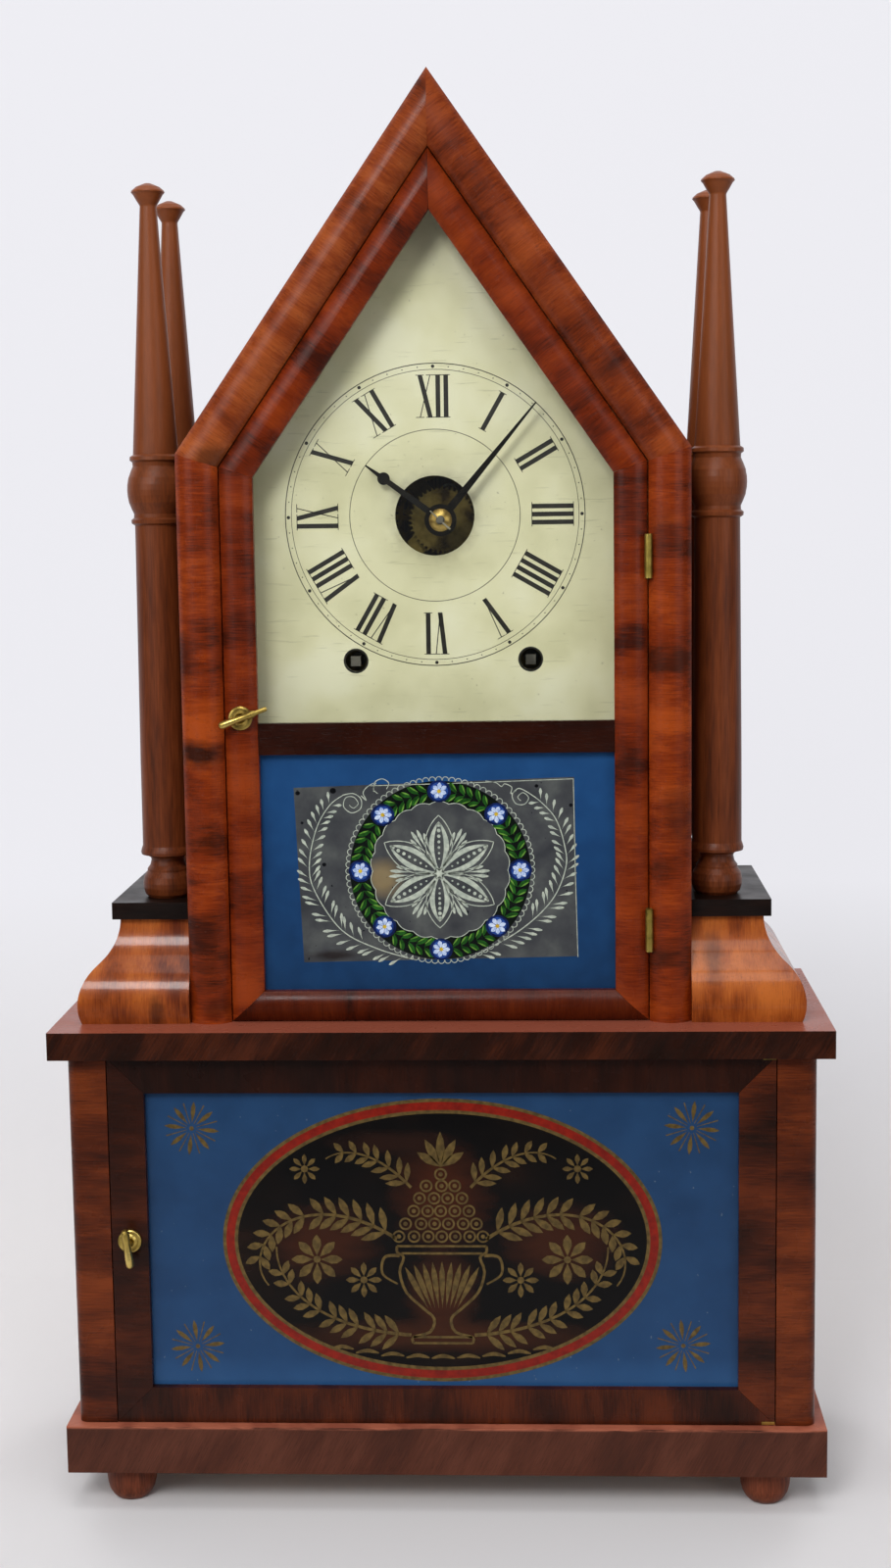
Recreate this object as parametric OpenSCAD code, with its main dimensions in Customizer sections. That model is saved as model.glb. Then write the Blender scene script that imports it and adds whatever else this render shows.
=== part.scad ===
// Double steeple shelf clock with a leaf spring drive, in millimetres.
// X runs to the right, the front faces -Y, Z is up, and the origin is under the middle of the case.

/* [Lower case] */
// Width of the lower case
lower_w = 349; // [335:1:365]
// Depth of the lower case, from its front face to the wall
lower_d = 129.5; // [126:0.5:145]
// Height of the lower case, from plinth to cornice
lower_h = 178.5; // [170:0.5:195]
// Width of each front stile of the lower case
lower_stile_w = 18.5; // [16:0.5:22]
// Radius of the rounded outer edge of a front stile
stile_round_r = 5; // [2:0.5:7]
// Thickness of the front stiles and of the lower door
front_t = 12; // [11:0.5:14]
// Thickness of the side and roof boards
board_t = 8; // [6:0.5:9]
// Thickness of the back boards
back_t = 6; // [4:0.5:8]

/* [Plinth and feet] */
// Height of the plinth
plinth_t = 23; // [18:0.5:28]
// How far the plinth stands out past the lower case
plinth_step = 5; // [4:0.5:8]
// Thickness of the facing round the base board
facing_t = 10; // [8:0.5:12]
// Height of the turned feet
foot_h = 19; // [14:0.5:24]
// Diameter of the turned feet
foot_d = 24; // [20:0.5:28]
// Distance from the side of the plinth to the middle of a foot
foot_in_x = 27; // [16:0.5:32]
// Distance from the front or back of the plinth to the middle of a foot
foot_in_y = 19; // [16:0.5:26]

/* [Cornice] */
// Thickness of the cornice board
cornice_t = 13; // [11:0.5:16]
// How far the cornice stands out past the lower case
cornice_step = 7.2; // [6:0.2:10]
// Diameter of the two cord holes through the cornice
cord_hole_d = 12; // [8:1:16]

/* [Upper case] */
// Width of the upper case
upper_w = 235; // [228:1:242]
// Height of the side walls up to the eaves
wall_h = 265; // [262:1:275]
// Height of the gable above the eaves
gable_h = 168.5; // [165:0.5:180]
// Distance from the cornice's front edge back to the crown of the front moulding
upper_setback = 16.7; // [12:0.1:20]
// Width of the front moulding
moulding_w = 19.4; // [17:0.2:21]
// Depth of the front moulding at its edges
moulding_t = 13; // [12.4:0.2:15]
// Rise of the moulding's round crown
moulding_rise = 5; // [3:0.5:6]

/* [Upper door] */
// Gap all round both doors
door_gap = 0.5; // [0.4:0.1:0.8]
// Width of the upper door's stiles and rakes
door_w = 15.2; // [14:0.2:17]
// Rise of the upper door's softer crown
door_rise = 3; // [2:0.5:4]
// Height of the bottom rail
bottom_rail_h = 14; // [12:0.5:16]
// Height of the clear tablet window between the rails
tablet_h = 111.8; // [104:0.2:118]
// Height of the flat middle rail
mid_rail_h = 14.7; // [12:0.1:16]
// Thickness of the lip in front of the glass
lip_t = 4; // [3:0.5:5]
// Width of the rebate behind the lip
rebate_w = 4; // [3:0.5:5]
// Thickness of the glass panes
glass_t = 2; // [1.5:0.1:3]

/* [Lower door] */
// Width of the lower door's stiles and rails
lower_door_w = 17; // [15:0.5:20]

/* [Column pedestals] */
// Width of an ogee pedestal at its widest
ogee_w = 52.8; // [48:0.2:54]
// Height of an ogee pedestal
ogee_h = 47.5; // [44:0.5:50]
// How far the ogee curve swings in from its belly to its top
ogee_swing = 18.2; // [15:0.2:19]
// Height of the belly above the cornice
belly_h = 8.5; // [7:0.5:10]
// Radius of the hollow in the upper part of the ogee
hollow_r = 27; // [24:0.5:30]
// Thickness of the dark block on the pedestal
block_t = 8; // [6:0.5:10]
// How far the block stands out past the ogee's top
block_over = 3.3; // [2:0.1:5]

/* [Columns] */
// Distance from the upper case's side to a column's axis
column_off = 14; // [14:0.2:16]
// Distance from the block's front or back edge to a column's axis
column_in = 20; // [16:0.5:22]
// Distance between the front and the back column
column_pitch = 58; // [50:1:66]
// Height of a column
column_h = 334.5; // [328:0.5:345]
// Radius of the shaft at its foot
shaft_r = 11.7; // [10:0.1:12.2]
// Radius of the bulb halfway up
bulb_r = 13.8; // [12.5:0.1:13.9]
// Radius of the spire under the cap
spire_r = 3.9; // [3:0.1:5]
// Radius of the flared cap
cap_r = 7.8; // [6:0.1:9]

/* [Dial and hands] */
// Distance from the back of the front moulding to the front of the dial
dial_back = 8; // [6:0.5:10]
// Thickness of the dial plate
dial_t = 1.2; // [0.8:0.1:2]
// Height of the dial's centre above the cornice
dial_up = 235.5; // [231:0.5:240]
// Diameter of the dial's centre opening
dial_eye_d = 37; // [34:0.5:42]
// Diameter of the winding holes
winding_hole_d = 10; // [8.5:0.5:12]
// Clear gap between the dial's edge and the boards round it
dial_clear = 1; // [0.6:0.1:1.5]
// Length of the minute hand from its arbor
minute_len = 69.4; // [62:0.2:74]
// Length of the hour hand from its arbor
hour_len = 43; // [36:0.5:48]
// Thickness of the hands
hand_t = 0.8; // [0.6:0.1:1.2]

/* [Movement] */
// Distance of the movement's centre line to the right of the case's
movement_x = 3; // [-4:0.5:5]
// Height of the centre arbor above the cornice
arbor_up = 233.4; // [230:0.2:237]
// Clear distance between the two plates
plate_gap = 26; // [26:0.5:30]
// Thickness of the plates
plate_t = 1.6; // [1.2:0.1:2]
// Distance from the dial's back to the front plate
plate_back = 16.8; // [15:0.2:20]
// Width of the plates' straps
strap_w = 9; // [8:0.5:11]
// Half the width of the plates, to the middle of the corner pillars
plate_half_w = 70; // [69.5:0.5:72]
// Distance from the centre arbor up to the top pillars
plate_up = 66; // [65:0.5:68]
// Distance from the centre arbor down to the bottom pillars
plate_down = 92; // [91:0.5:95]
// Radius of a winding drum
drum_r = 15; // [12:0.5:16]
// Side of the winding squares
winding_sq = 4.6; // [4:0.1:5]

/* [Pendulum] */
// Length of the pendulum from its pivot to the middle of the bob
pendulum_len = 240; // [232:1:246]
// Diameter of the bob
bob_d = 46; // [40:1:50]
// Thickness of the bob
bob_t = 9; // [7:0.5:11]

/* [Leaf spring] */
// Number of leaves
leaf_n = 7; // [5:1:8]
// Thickness of a leaf
leaf_t = 1.6; // [1.2:0.1:2]
// Width of the leaves, front to back
leaf_w = 32; // [26:1:38]
// Half the length of the longest leaf
leaf_half = 140; // [130:1:146]
// How far the tips drop below the middle
leaf_drop = 10; // [6:0.5:12]
// Height of the iron saddle under the leaves
saddle_h = 20; // [16:1:26]

/* [Hinges and latches] */
// Diameter of the upper hinges' knuckles
knuckle_d = 3.6; // [3:0.1:4]
// Length of a knuckle
knuckle_l = 20; // [16:1:24]
// Height of the lower hinge above the cornice
hinge_low = 43.5; // [38:0.5:60]
// Height of the upper hinge above the cornice
hinge_high = 216; // [200:0.5:225]
// Diameter of the hinge and pivot pins
pin_d = 1.6; // [1.2:0.1:2]
// Diameter of the latch plates
rosette_d = 11; // [9:0.5:12]
// Thickness of the latch plates
rosette_t = 1.4; // [1:0.1:2]
// Diameter of the latch spindles
spindle_d = 3; // [2.5:0.1:4]
// Length of a latch's turn piece
turn_len = 24.6; // [20:0.2:28]
// Height of the upper latch above the cornice
upper_latch_up = 144; // [138:0.5:150]
// How far the lower latch stands out in front of the lower case
latch_out = 10.5; // [9:0.5:13]

/* [Fits] */
// Radial clearance of pins, arbors and spindles in their holes
running = 0.06; // [0.03:0.01:0.1]
// Clear gap round a pane in its rebate
pane_clear = 0.3; // [0.2:0.1:0.5]
// Width of the open mitre lines in the doors
kerf = 0.1; // [0.06:0.02:0.2]

/* [Hidden] */

WALNUT = [0.36, 0.13, 0.05];
MAHOGANY = [0.50, 0.17, 0.06];
GOLDEN = [0.62, 0.27, 0.10];
EBONY = [0.10, 0.07, 0.06];
PINE = [0.72, 0.56, 0.36];
BRASS = [0.72, 0.60, 0.28];
STEEL = [0.45, 0.46, 0.48];
IRON = [0.16, 0.16, 0.17];
CREAM = [0.80, 0.78, 0.63];
BLUE = [0.15, 0.32, 0.50];
GLASS = [0.80, 0.88, 0.88, 0.35];
BLACK = [0.05, 0.05, 0.05];

// A circle with ROUND sides is a true one, and a small arbor has ARBOR_SIDES flats
ROUND = 72;
ARBOR_SIDES = 12;
WIRE_SIDES = 6;

// Depths from front to back
back_y = (lower_d + latch_out) / 2;
lower_front = back_y - lower_d;
plinth_front = lower_front - plinth_step;
cornice_front = lower_front - cornice_step;
crown_y = cornice_front + upper_setback;
frame_back = crown_y + moulding_rise + moulding_t;
door_edge_t = moulding_t - 0.6;
door_edge_y = frame_back - door_edge_t;
dial_front = frame_back + dial_back;
plate_front_y = dial_front + dial_t + plate_back;
gap_front = plate_front_y + plate_t;
gap_back = gap_front + plate_gap;
plate_back_y = gap_back + plate_t;
inner_back = back_y - back_t;

// Heights from the floor up
plinth_top = foot_h + plinth_t;
cornice_z = plinth_top + lower_h;
upper_z = cornice_z + cornice_t;
eaves_z = upper_z + wall_h;
apex_z = eaves_z + gable_h;
dial_z = upper_z + dial_up;

// The pointed outline of the upper case, drawn in by an inset
upper_half = upper_w / 2;
roof_a = atan2(gable_h, upper_half);
function peak(inset) = apex_z - inset / cos(roof_a);
function eave(inset) = peak(inset) - (upper_half - inset) * tan(roof_a);
function house(inset, base) = [[inset - upper_half, base], [inset - upper_half, eave(inset)],
    [0, peak(inset)], [upper_half - inset, eave(inset)], [upper_half - inset, base]];
function left_post(outer, inner, base_out, base_in) = [[outer - upper_half, base_out],
    [outer - upper_half, eave(outer)], [inner - upper_half, eave(inner)],
    [inner - upper_half, base_in]];
function left_slope(outer, inner) = [[outer - upper_half, eave(outer)], [0, peak(outer)],
    [0, peak(inner)], [inner - upper_half, eave(inner)]];

// The upper door's outline, rails and panes
door_outer = moulding_w + door_gap;
door_inner = door_outer + door_w;
door_base = upper_z + door_gap;
window_base = door_base + bottom_rail_h;
window_top = window_base + tablet_h;
dial_base = window_top + mid_rail_h;
opening_half = upper_half - door_inner;
pane_y = door_edge_y + lip_t;

// The lower door
lower_open_half = lower_w / 2 - lower_stile_w;
lower_door_half = lower_open_half - door_gap;
lower_door_base = plinth_top + door_gap;
lower_door_top = cornice_z - door_gap;
lower_pane_half = lower_door_half - lower_door_w;
lower_pane_y = lower_front + lip_t;

// Pedestals, blocks and columns on the left, mirrored to the right
ogee_front = crown_y;
block_front = ogee_front + ogee_swing - block_over;
column_front_y = block_front + column_in;
column_back_y = column_front_y + column_pitch;
block_back = column_back_y + column_in;
block_w = ogee_w - ogee_swing + block_over;
block_z = upper_z + ogee_h;
column_z = block_z + block_t;
column_x = upper_half + column_off;

// Hinge of the upper door and pivots of the lower door
joint_x = upper_half - moulding_w;
hinge_x = joint_x - door_gap / 2;
hinge_y = door_edge_y - knuckle_d / 2 - 1.7;
hinge_leaf_t = 0.9;
hinge_leaf_d = 11;
leaf_front_y = hinge_y + knuckle_d / 2 + 0.2;
pivot_in = 3.2;
pivot_x = lower_door_half - pivot_in;
pivot_y = lower_front + 1.5;
pivot_plate_t = 1.5;
pivot_plate_d = 8;
pivot_plate_w = 6.2;
pivot_pin_l = 6;

// Train of the movement, with each arbor placed from the one before it
function from(p, dist, angle) = [p[0] + dist * cos(angle), p[1] + dist * sin(angle)];
function mesh_dist(teeth, leaves, mod) = mod * (teeth + leaves) / 2;
GREAT_TEETH = 76;
SECOND_TEETH = 72;
CENTRE_TEETH = 72;
FOURTH_TEETH = 80;
ESCAPE_TEETH = 40;
STRIKE_SECOND_TEETH = 60;
STRIKE_THIRD_TEETH = 56;
LEAVES_10 = 10;
LEAVES_8 = 8;
great_m = 0.9;
second_m = 1.0;
centre_m = 0.65;
fourth_m = 0.55;
strike_second_m = 0.8;
strike_third_m = 0.6;
second_dir = 223.3;
great_dir = 253.2;
fourth_dir = 126;
escape_dir = 125;
strike_second_dir = 97;
strike_third_dir = 80;
fly_dir = 99;
hammer_dir = 25;
hammer_dist = 26.5;
centre_p = [movement_x, upper_z + arbor_up];
second_p = from(centre_p, mesh_dist(SECOND_TEETH, LEAVES_10, second_m), second_dir);
barrel_p = from(second_p, mesh_dist(GREAT_TEETH, LEAVES_10, great_m), great_dir);
fourth_p = from(centre_p, mesh_dist(CENTRE_TEETH, LEAVES_8, centre_m), fourth_dir);
escape_p = from(fourth_p, mesh_dist(FOURTH_TEETH, LEAVES_8, fourth_m), escape_dir);
escape_r = 14;
verge_up = 21.5;
verge_p = [escape_p[0], escape_p[1] + verge_up];
strike_barrel_p = [2 * centre_p[0] - barrel_p[0], barrel_p[1]];
strike_second_p = from(strike_barrel_p, mesh_dist(GREAT_TEETH, LEAVES_10, great_m), strike_second_dir);
strike_third_p = from(strike_second_p, mesh_dist(STRIKE_SECOND_TEETH, LEAVES_8, strike_second_m),
    strike_third_dir);
fly_p = from(strike_third_p, mesh_dist(STRIKE_THIRD_TEETH, LEAVES_8, strike_third_m), fly_dir);
hammer_p = from(strike_second_p, hammer_dist, hammer_dir);
motion_leaves = 12;
motion_teeth = 36;
motion_pinion = 10;
hour_teeth = 40;
motion_m = 0.8;
motion_dist = mesh_dist(motion_teeth, motion_leaves, motion_m);
hour_m = 2 * motion_dist / (motion_pinion + hour_teeth);
motion_dir = 0;
motion_p = from(centre_p, motion_dist, motion_dir);
minute_angle = 40;
hour_angle = 306.4;

// Layers of the movement, each the distance of a wheel's front face from the front plate's back
wheel_t = 1.2;
great_y = gap_front + 19.5;
great_t = 2;
second_y = gap_front + 23;
centre_y = gap_front + 16.5;
fourth_y = gap_front + 11.5;
escape_y = gap_front + 5.5;
strike_third_y = gap_front + 12.5;
pin_reach = 1.2;
arbor_r = 1.3;
pivot_out = 0.6;

// Front-view outline drawn in X and Z, made solid from y_front backwards
module slab(y_front, thickness) {
    translate([0, y_front + thickness, 0]) rotate([90, 0, 0]) linear_extrude(thickness) children();
}

// Straight bar along Y at point p of the front view
module bar_y(p, radius, y_from, y_to, sides) {
    translate([p[0], y_to, p[1]]) rotate([90, 0, 0]) cylinder(r = radius, h = y_to - y_from, $fn = sides);
}

// Rectangle between two corners of the front view
module pane(left, bottom, right, top) {
    translate([left, bottom]) square([right - left, top - bottom]);
}

// Mirrors a left-hand piece to the right
module on_right() {
    mirror([1, 0, 0]) children();
}

// Section of a moulding: flat back, square edges and a round crown
module crown_section(width, edge, rise) {
    crown_r = (width * width / 4 + rise * rise) / (2 * rise);
    translate([-width / 2, 0]) square([width, edge]);
    intersection() {
        translate([0, edge + rise - crown_r]) circle(r = crown_r, $fn = ROUND);
        translate([-width / 2, edge / 2]) square([width, edge / 2 + rise]);
    }
}

// Length of a moulding through point p, tilted from upright, its back at y_back
module moulding(p, tilt, length, y_back) {
    translate([p[0], y_back, p[1]]) rotate([0, tilt, 0]) translate([0, 0, -length / 2])
        mirror([0, 1, 0]) linear_extrude(length) children();
}

// One thin open line between points a and b of the front view, cut through the given depth
module saw_line(a, b, y_front, depth) {
    run = [b[0] - a[0], b[1] - a[1]];
    slab(y_front, depth) translate(a) rotate(atan2(run[1], run[0]))
        translate([-1, -kerf / 2]) square([norm(run) + 2, kerf]);
}

module feet() {
    foot_x = lower_w / 2 + plinth_step - foot_in_x;
    edge_r = foot_h / 4;
    color(MAHOGANY)
    for (x = [-foot_x, foot_x]) for (y = [plinth_front + foot_in_y, back_y - foot_in_y])
        translate([x, y, 0]) rotate_extrude($fn = ROUND) {
            translate([0, edge_r]) square([foot_d / 2, foot_h - edge_r]);
            square([foot_d / 2 - edge_r, foot_h / 2]);
            translate([foot_d / 2 - edge_r, edge_r]) intersection() {
                circle(r = edge_r, $fn = ROUND);
                translate([0, -edge_r]) square([edge_r, 2 * edge_r]);
            }
        }
}

module pivot_hole(z) {
    translate([pivot_x, pivot_y, z]) cylinder(d = pin_d + 2 * running, h = pivot_pin_l + 1, $fn = ROUND);
}

module plinth_facing() {
    half = lower_w / 2 + plinth_step;
    color(WALNUT)
    difference() {
        translate([-half, plinth_front, foot_h]) cube([2 * half, back_y - plinth_front, plinth_t]);
        translate([facing_t - half, plinth_front + facing_t, foot_h - 1])
            cube([2 * (half - facing_t), lower_d + plinth_step, plinth_t + 2]);
        for (side = [-1, 1]) translate([side * half, plinth_front, foot_h - 1]) rotate(side * 45)
            translate([-kerf / 2, -1, 0]) cube([kerf, 2 * facing_t, plinth_t + 2]);
        pivot_hole(plinth_top - pivot_pin_l - door_gap);
    }
}

module base_board() {
    half = lower_w / 2 + plinth_step - facing_t;
    depth = back_y - plinth_front - facing_t;
    color(PINE) translate([-half, plinth_front + facing_t, foot_h]) cube([2 * half, depth, plinth_t]);
}

module lower_side() {
    color(MAHOGANY) translate([-lower_w / 2, lower_front + front_t, plinth_top])
        cube([board_t, lower_d - front_t, lower_h]);
}

module lower_back_board() {
    half = lower_w / 2 - board_t;
    color(PINE) translate([-half, inner_back, plinth_top]) cube([2 * half, back_t, lower_h]);
}

module lower_stile() {
    color(WALNUT) translate([-lower_w / 2, lower_front, plinth_top]) linear_extrude(lower_h)
        difference() {
            square([lower_stile_w, front_t]);
            difference() {
                square(stile_round_r);
                translate([stile_round_r, stile_round_r]) circle(r = stile_round_r, $fn = ROUND);
            }
        }
}

module cornice() {
    half = lower_w / 2 + cornice_step;
    color(WALNUT)
    difference() {
        translate([-half, cornice_front, cornice_z]) cube([2 * half, back_y - cornice_front, cornice_t]);
        pivot_hole(cornice_z - 1);
        for (x = [barrel_p[0], strike_barrel_p[0]])
            translate([x, (gap_front + great_y) / 2, cornice_z - 1])
                cylinder(d = cord_hole_d, h = cornice_t + 2, $fn = ROUND);
    }
}

// Section of the ogee: x outwards from the line of its top, z up, and a body reaching inwards
module ogee_section(inward) {
    turn = 2 * atan2(ogee_swing, ogee_h - belly_h);
    belly_r = ogee_swing / (1 - cos(turn)) - hollow_r;
    joint_z = ogee_h - hollow_r * sin(turn);
    joint_out = hollow_r * (1 - cos(turn));
    translate([-inward, 0]) square([inward, ogee_h]);
    intersection() {
        translate([ogee_swing - belly_r, belly_h]) circle(r = belly_r, $fn = ROUND);
        translate([-inward, 0]) square([inward + ogee_swing, joint_z]);
    }
    difference() {
        translate([0, joint_z]) square([joint_out, ogee_h - joint_z]);
        translate([hollow_r, ogee_h]) circle(r = hollow_r, $fn = ROUND);
    }
}

module ogee() {
    top_w = ogee_w - ogee_swing;
    top_front = ogee_front + ogee_swing;
    color(GOLDEN)
    intersection() {
        translate([-upper_half - top_w, block_back, upper_z]) rotate([90, 0, 0])
            linear_extrude(block_back - ogee_front) mirror([1, 0, 0]) ogee_section(top_w);
        translate([-upper_half, top_front, upper_z]) rotate([90, 0, -90])
            linear_extrude(ogee_w) ogee_section(block_back - top_front);
    }
}

module column_block() {
    color(EBONY) translate([-upper_half - block_w, block_front, block_z])
        cube([block_w, block_back - block_front, block_t]);
}

// Half section of a turned column: rings and coves at both ends of the shaft, bulb, spire and cap
module column_section() {
    ring_h = 2.6;
    base_h = 18;
    shaft_foot = base_h + 7;
    shaft_top = column_h * 0.53;
    bulb_z = shaft_top + 16.5;
    spire_foot = bulb_z + 16.5;
    cap_h = 10.5;
    cap_z = column_h - cap_h;
    polygon([[0, 0], [shaft_r * 0.82, 0], [shaft_r * 0.95, 1.6], [shaft_r * 1.02, 4.5],
        [shaft_r * 1.03, 7], [shaft_r * 0.98, 10], [shaft_r * 0.84, 12.6], [shaft_r * 0.84, 13.6],
        [shaft_r * 0.72, 15.5], [shaft_r * 0.67, base_h], [shaft_r * 0.70, base_h + 1.2],
        [shaft_r * 0.86, base_h + 2.2], [shaft_r * 1.06, base_h + 2.8],
        [shaft_r * 1.08, base_h + 4.1], [shaft_r * 1.05, base_h + 5.4], [shaft_r, shaft_foot],
        [shaft_r * 0.99, shaft_foot + 40], [shaft_r * 0.91, shaft_top],
        [bulb_r * 0.88, shaft_top + 1], [bulb_r * 0.89, shaft_top + ring_h],
        [bulb_r * 0.80, shaft_top + ring_h + 1], [bulb_r * 0.79, shaft_top + 5.4],
        [bulb_r * 0.86, bulb_z - 9], [bulb_r * 0.95, bulb_z - 5.8], [bulb_r * 0.99, bulb_z - 2.5],
        [bulb_r, bulb_z], [bulb_r * 0.99, bulb_z + 2.5], [bulb_r * 0.95, bulb_z + 5.8],
        [bulb_r * 0.86, bulb_z + 9], [bulb_r * 0.79, spire_foot - 5.4],
        [bulb_r * 0.80, spire_foot - ring_h - 1], [bulb_r * 0.89, spire_foot - ring_h],
        [bulb_r * 0.88, spire_foot - 1], [bulb_r * 0.77, spire_foot],
        [spire_r, cap_z], [spire_r * 1.03, cap_z + 0.6], [spire_r * 1.35, cap_z + 2.6],
        [cap_r * 0.88, cap_z + 5.4], [cap_r, cap_z + 6.4], [cap_r * 0.97, cap_z + 7.1],
        [cap_r * 0.72, cap_z + 8.8], [cap_r * 0.42, cap_z + 9.8], [cap_r * 0.2, column_h],
        [0, column_h]]);
}

module columns() {
    color(MAHOGANY)
    for (y = [column_front_y, column_back_y])
        translate([-column_x, y, column_z]) rotate_extrude($fn = ROUND) column_section();
}

module upper_side() {
    color(MAHOGANY) slab(frame_back, back_y - frame_back)
        polygon(left_post(0, board_t, upper_z, upper_z));
}

module roof() {
    color(MAHOGANY) slab(frame_back, back_y - frame_back) polygon(left_slope(0, board_t));
}

module upper_back_board() {
    color(PINE) slab(inner_back, back_t) polygon(house(board_t, upper_z));
}

module frame_stile() {
    color(MAHOGANY)
    difference() {
        intersection() {
            moulding([moulding_w / 2 - upper_half, upper_z + wall_h / 2], 0, 2 * wall_h, frame_back)
                crown_section(moulding_w, moulding_t, moulding_rise);
            slab(crown_y, moulding_t + moulding_rise)
                polygon(left_post(0, moulding_w, upper_z, upper_z));
        }
        children();
    }
}

// Middle of the centre line of a sloping member that lies between two insets
function slope_mid(outer, inner) = let (mid = (outer + inner) / 2)
    [(mid - upper_half) / 2, (eave(mid) + peak(mid)) / 2];

module frame_rake() {
    color(MAHOGANY)
    intersection() {
        moulding(slope_mid(0, moulding_w), 90 - roof_a, 2 * gable_h, frame_back)
            crown_section(moulding_w, moulding_t, moulding_rise);
        slab(crown_y, moulding_t + moulding_rise) polygon(left_slope(0, moulding_w));
    }
}

module dial_plate() {
    eye = [0, dial_z];
    color(CREAM) slab(dial_front, dial_t)
        difference() {
            polygon(house(board_t + dial_clear, window_top + mid_rail_h / 4));
            translate(eye) circle(d = dial_eye_d, $fn = ROUND);
            for (p = [barrel_p, strike_barrel_p]) translate(p) circle(d = winding_hole_d, $fn = ROUND);
        }
}

module dial_cleats() {
    cleat_w = 9;
    cleat_d = 12;
    color(PINE)
    for (side = [0, 1]) mirror([side, 0, 0])
        translate([board_t - upper_half, dial_front + dial_t, window_top + mid_rail_h])
            cube([cleat_w, cleat_d, eave(board_t + cleat_w) - window_top - mid_rail_h]);
}

// The four pillar places of the plates
function plate_corners() = [for (x = [-plate_half_w, plate_half_w]) for (z = [-plate_down, plate_up])
    [centre_p[0] + x, centre_p[1] + z]];

module movement_blocks() {
    block_side = 9;
    color(PINE)
    for (x = [centre_p[0] - plate_half_w, centre_p[0] + plate_half_w])
        translate([x - block_side / 2, plate_back_y, centre_p[1] - plate_down - block_side / 2])
            cube([block_side, inner_back - plate_back_y, plate_up + plate_down + block_side]);
}

// Flat strap of a plate from point a to point b
module strap(a, b) {
    run = [b[0] - a[0], b[1] - a[1]];
    translate(a) rotate(atan2(run[1], run[0])) translate([0, -strap_w / 2])
        square([norm(run), strap_w]);
}

module boss(p, radius) {
    translate(p) rotate(180 / ARBOR_SIDES) circle(r = radius, $fn = ARBOR_SIDES);
}

// Both plates are cut alike: a square frame of straps, cross straps and a boss at every pivot
module plate_outline() {
    corners = plate_corners();
    left_mid = [corners[0][0], barrel_p[1]];
    right_mid = [corners[2][0], barrel_p[1]];
    top_left = [verge_p[0], corners[1][1]];
    top_right = [fly_p[0], corners[1][1]];
    left_arm = [corners[0][0], centre_p[1]];
    right_arm = [corners[2][0], hammer_p[1]];
    for (ends = [[corners[0], corners[1]], [corners[1], corners[3]], [corners[3], corners[2]],
            [corners[2], corners[0]], [left_mid, right_mid], [barrel_p, second_p],
            [second_p, centre_p], [centre_p, fourth_p], [fourth_p, escape_p], [escape_p, top_left],
            [left_arm, fourth_p], [strike_barrel_p, strike_second_p],
            [strike_second_p, strike_third_p], [strike_third_p, fly_p], [fly_p, top_right],
            [strike_second_p, hammer_p], [hammer_p, right_arm], [centre_p, strike_third_p]])
        strap(ends[0], ends[1]);
    for (p = corners) boss(p, strap_w * 0.7);
    for (p = pivots()) boss(p, strap_w * 0.62);
}

function pivots() = [barrel_p, second_p, centre_p, fourth_p, escape_p, verge_p, strike_barrel_p,
    strike_second_p, strike_third_p, fly_p, hammer_p];

// A hole whose flats clear a turning arbor of the given radius
module arbor_hole(p, radius) {
    translate(p) circle(r = (radius + running) / cos(180 / ARBOR_SIDES), $fn = ARBOR_SIDES);
}

barrel_r = 3.2;

module plate_holes(barrel_hole_r) {
    for (p = [second_p, fourth_p, escape_p, verge_p, strike_second_p, strike_third_p, fly_p, hammer_p])
        arbor_hole(p, arbor_r);
    for (p = [barrel_p, strike_barrel_p]) arbor_hole(p, barrel_hole_r);
    arbor_hole(centre_p, centre_r);
}

stud_r = 1.5;
suspension_y = plate_front_y - 8;
suspension_top = verge_p[1] + 9;

module plate_front() {
    color(BRASS) {
        slab(plate_front_y, plate_t) difference() {
            plate_outline();
            plate_holes(barrel_r);
        }
        bar_y(motion_p, stud_r, motion_y - 4.5, plate_front_y, ARBOR_SIDES);
        translate([verge_p[0] - 3, suspension_y - 2, suspension_top - 3])
            cube([6, plate_front_y - suspension_y + 2, 4]);
        translate([verge_p[0] - 3, plate_front_y - 1.6, suspension_top - 3])
            cube([6, 1.6, plate_corners()[1][1] - suspension_top + 3]);
    }
}

pillar_r = 3.4;

module plate_back() {
    color(BRASS) {
        slab(gap_back, plate_t) difference() {
            plate_outline();
            plate_holes(arbor_r);
        }
        for (p = plate_corners()) bar_y(p, pillar_r, gap_front, gap_back, ARBOR_SIDES);
    }
}

// Wheel outline: straight-sided teeth, rim, crossings and a round-ish bore left to the arbor
module wheel_outline(teeth, mod, spokes) {
    pitch_r = mod * teeth / 2;
    tip_r = pitch_r + 0.75 * mod;
    root_r = pitch_r - 1.15 * mod;
    root_a = 360 / teeth * 0.27;
    tip_a = 360 / teeth * 0.09;
    rim_r = root_r - 1.6;
    hub_r = 4;
    difference() {
        polygon([for (i = [0 : teeth - 1]) for (q = [[root_r, -root_a], [tip_r, -tip_a],
                [tip_r, tip_a], [root_r, root_a]])
            let (a = 360 / teeth * i + q[1]) [q[0] * cos(a), q[0] * sin(a)]]);
        if (spokes > 0) difference() {
            circle(r = rim_r, $fn = ARBOR_SIDES);
            circle(r = hub_r, $fn = ARBOR_SIDES);
            for (i = [0 : spokes - 1]) rotate(360 / spokes * i) translate([0, -1.2])
                square([pitch_r, 2.4]);
        }
    }
}

// Wheel on the front view at p, with the middle of a tooth gap towards the direction given
module wheel(p, teeth, mod, towards, y_front, thickness, spokes) {
    slab(y_front, thickness) translate(p) rotate(towards + 180 / teeth)
        wheel_outline(teeth, mod, spokes);
}

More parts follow.
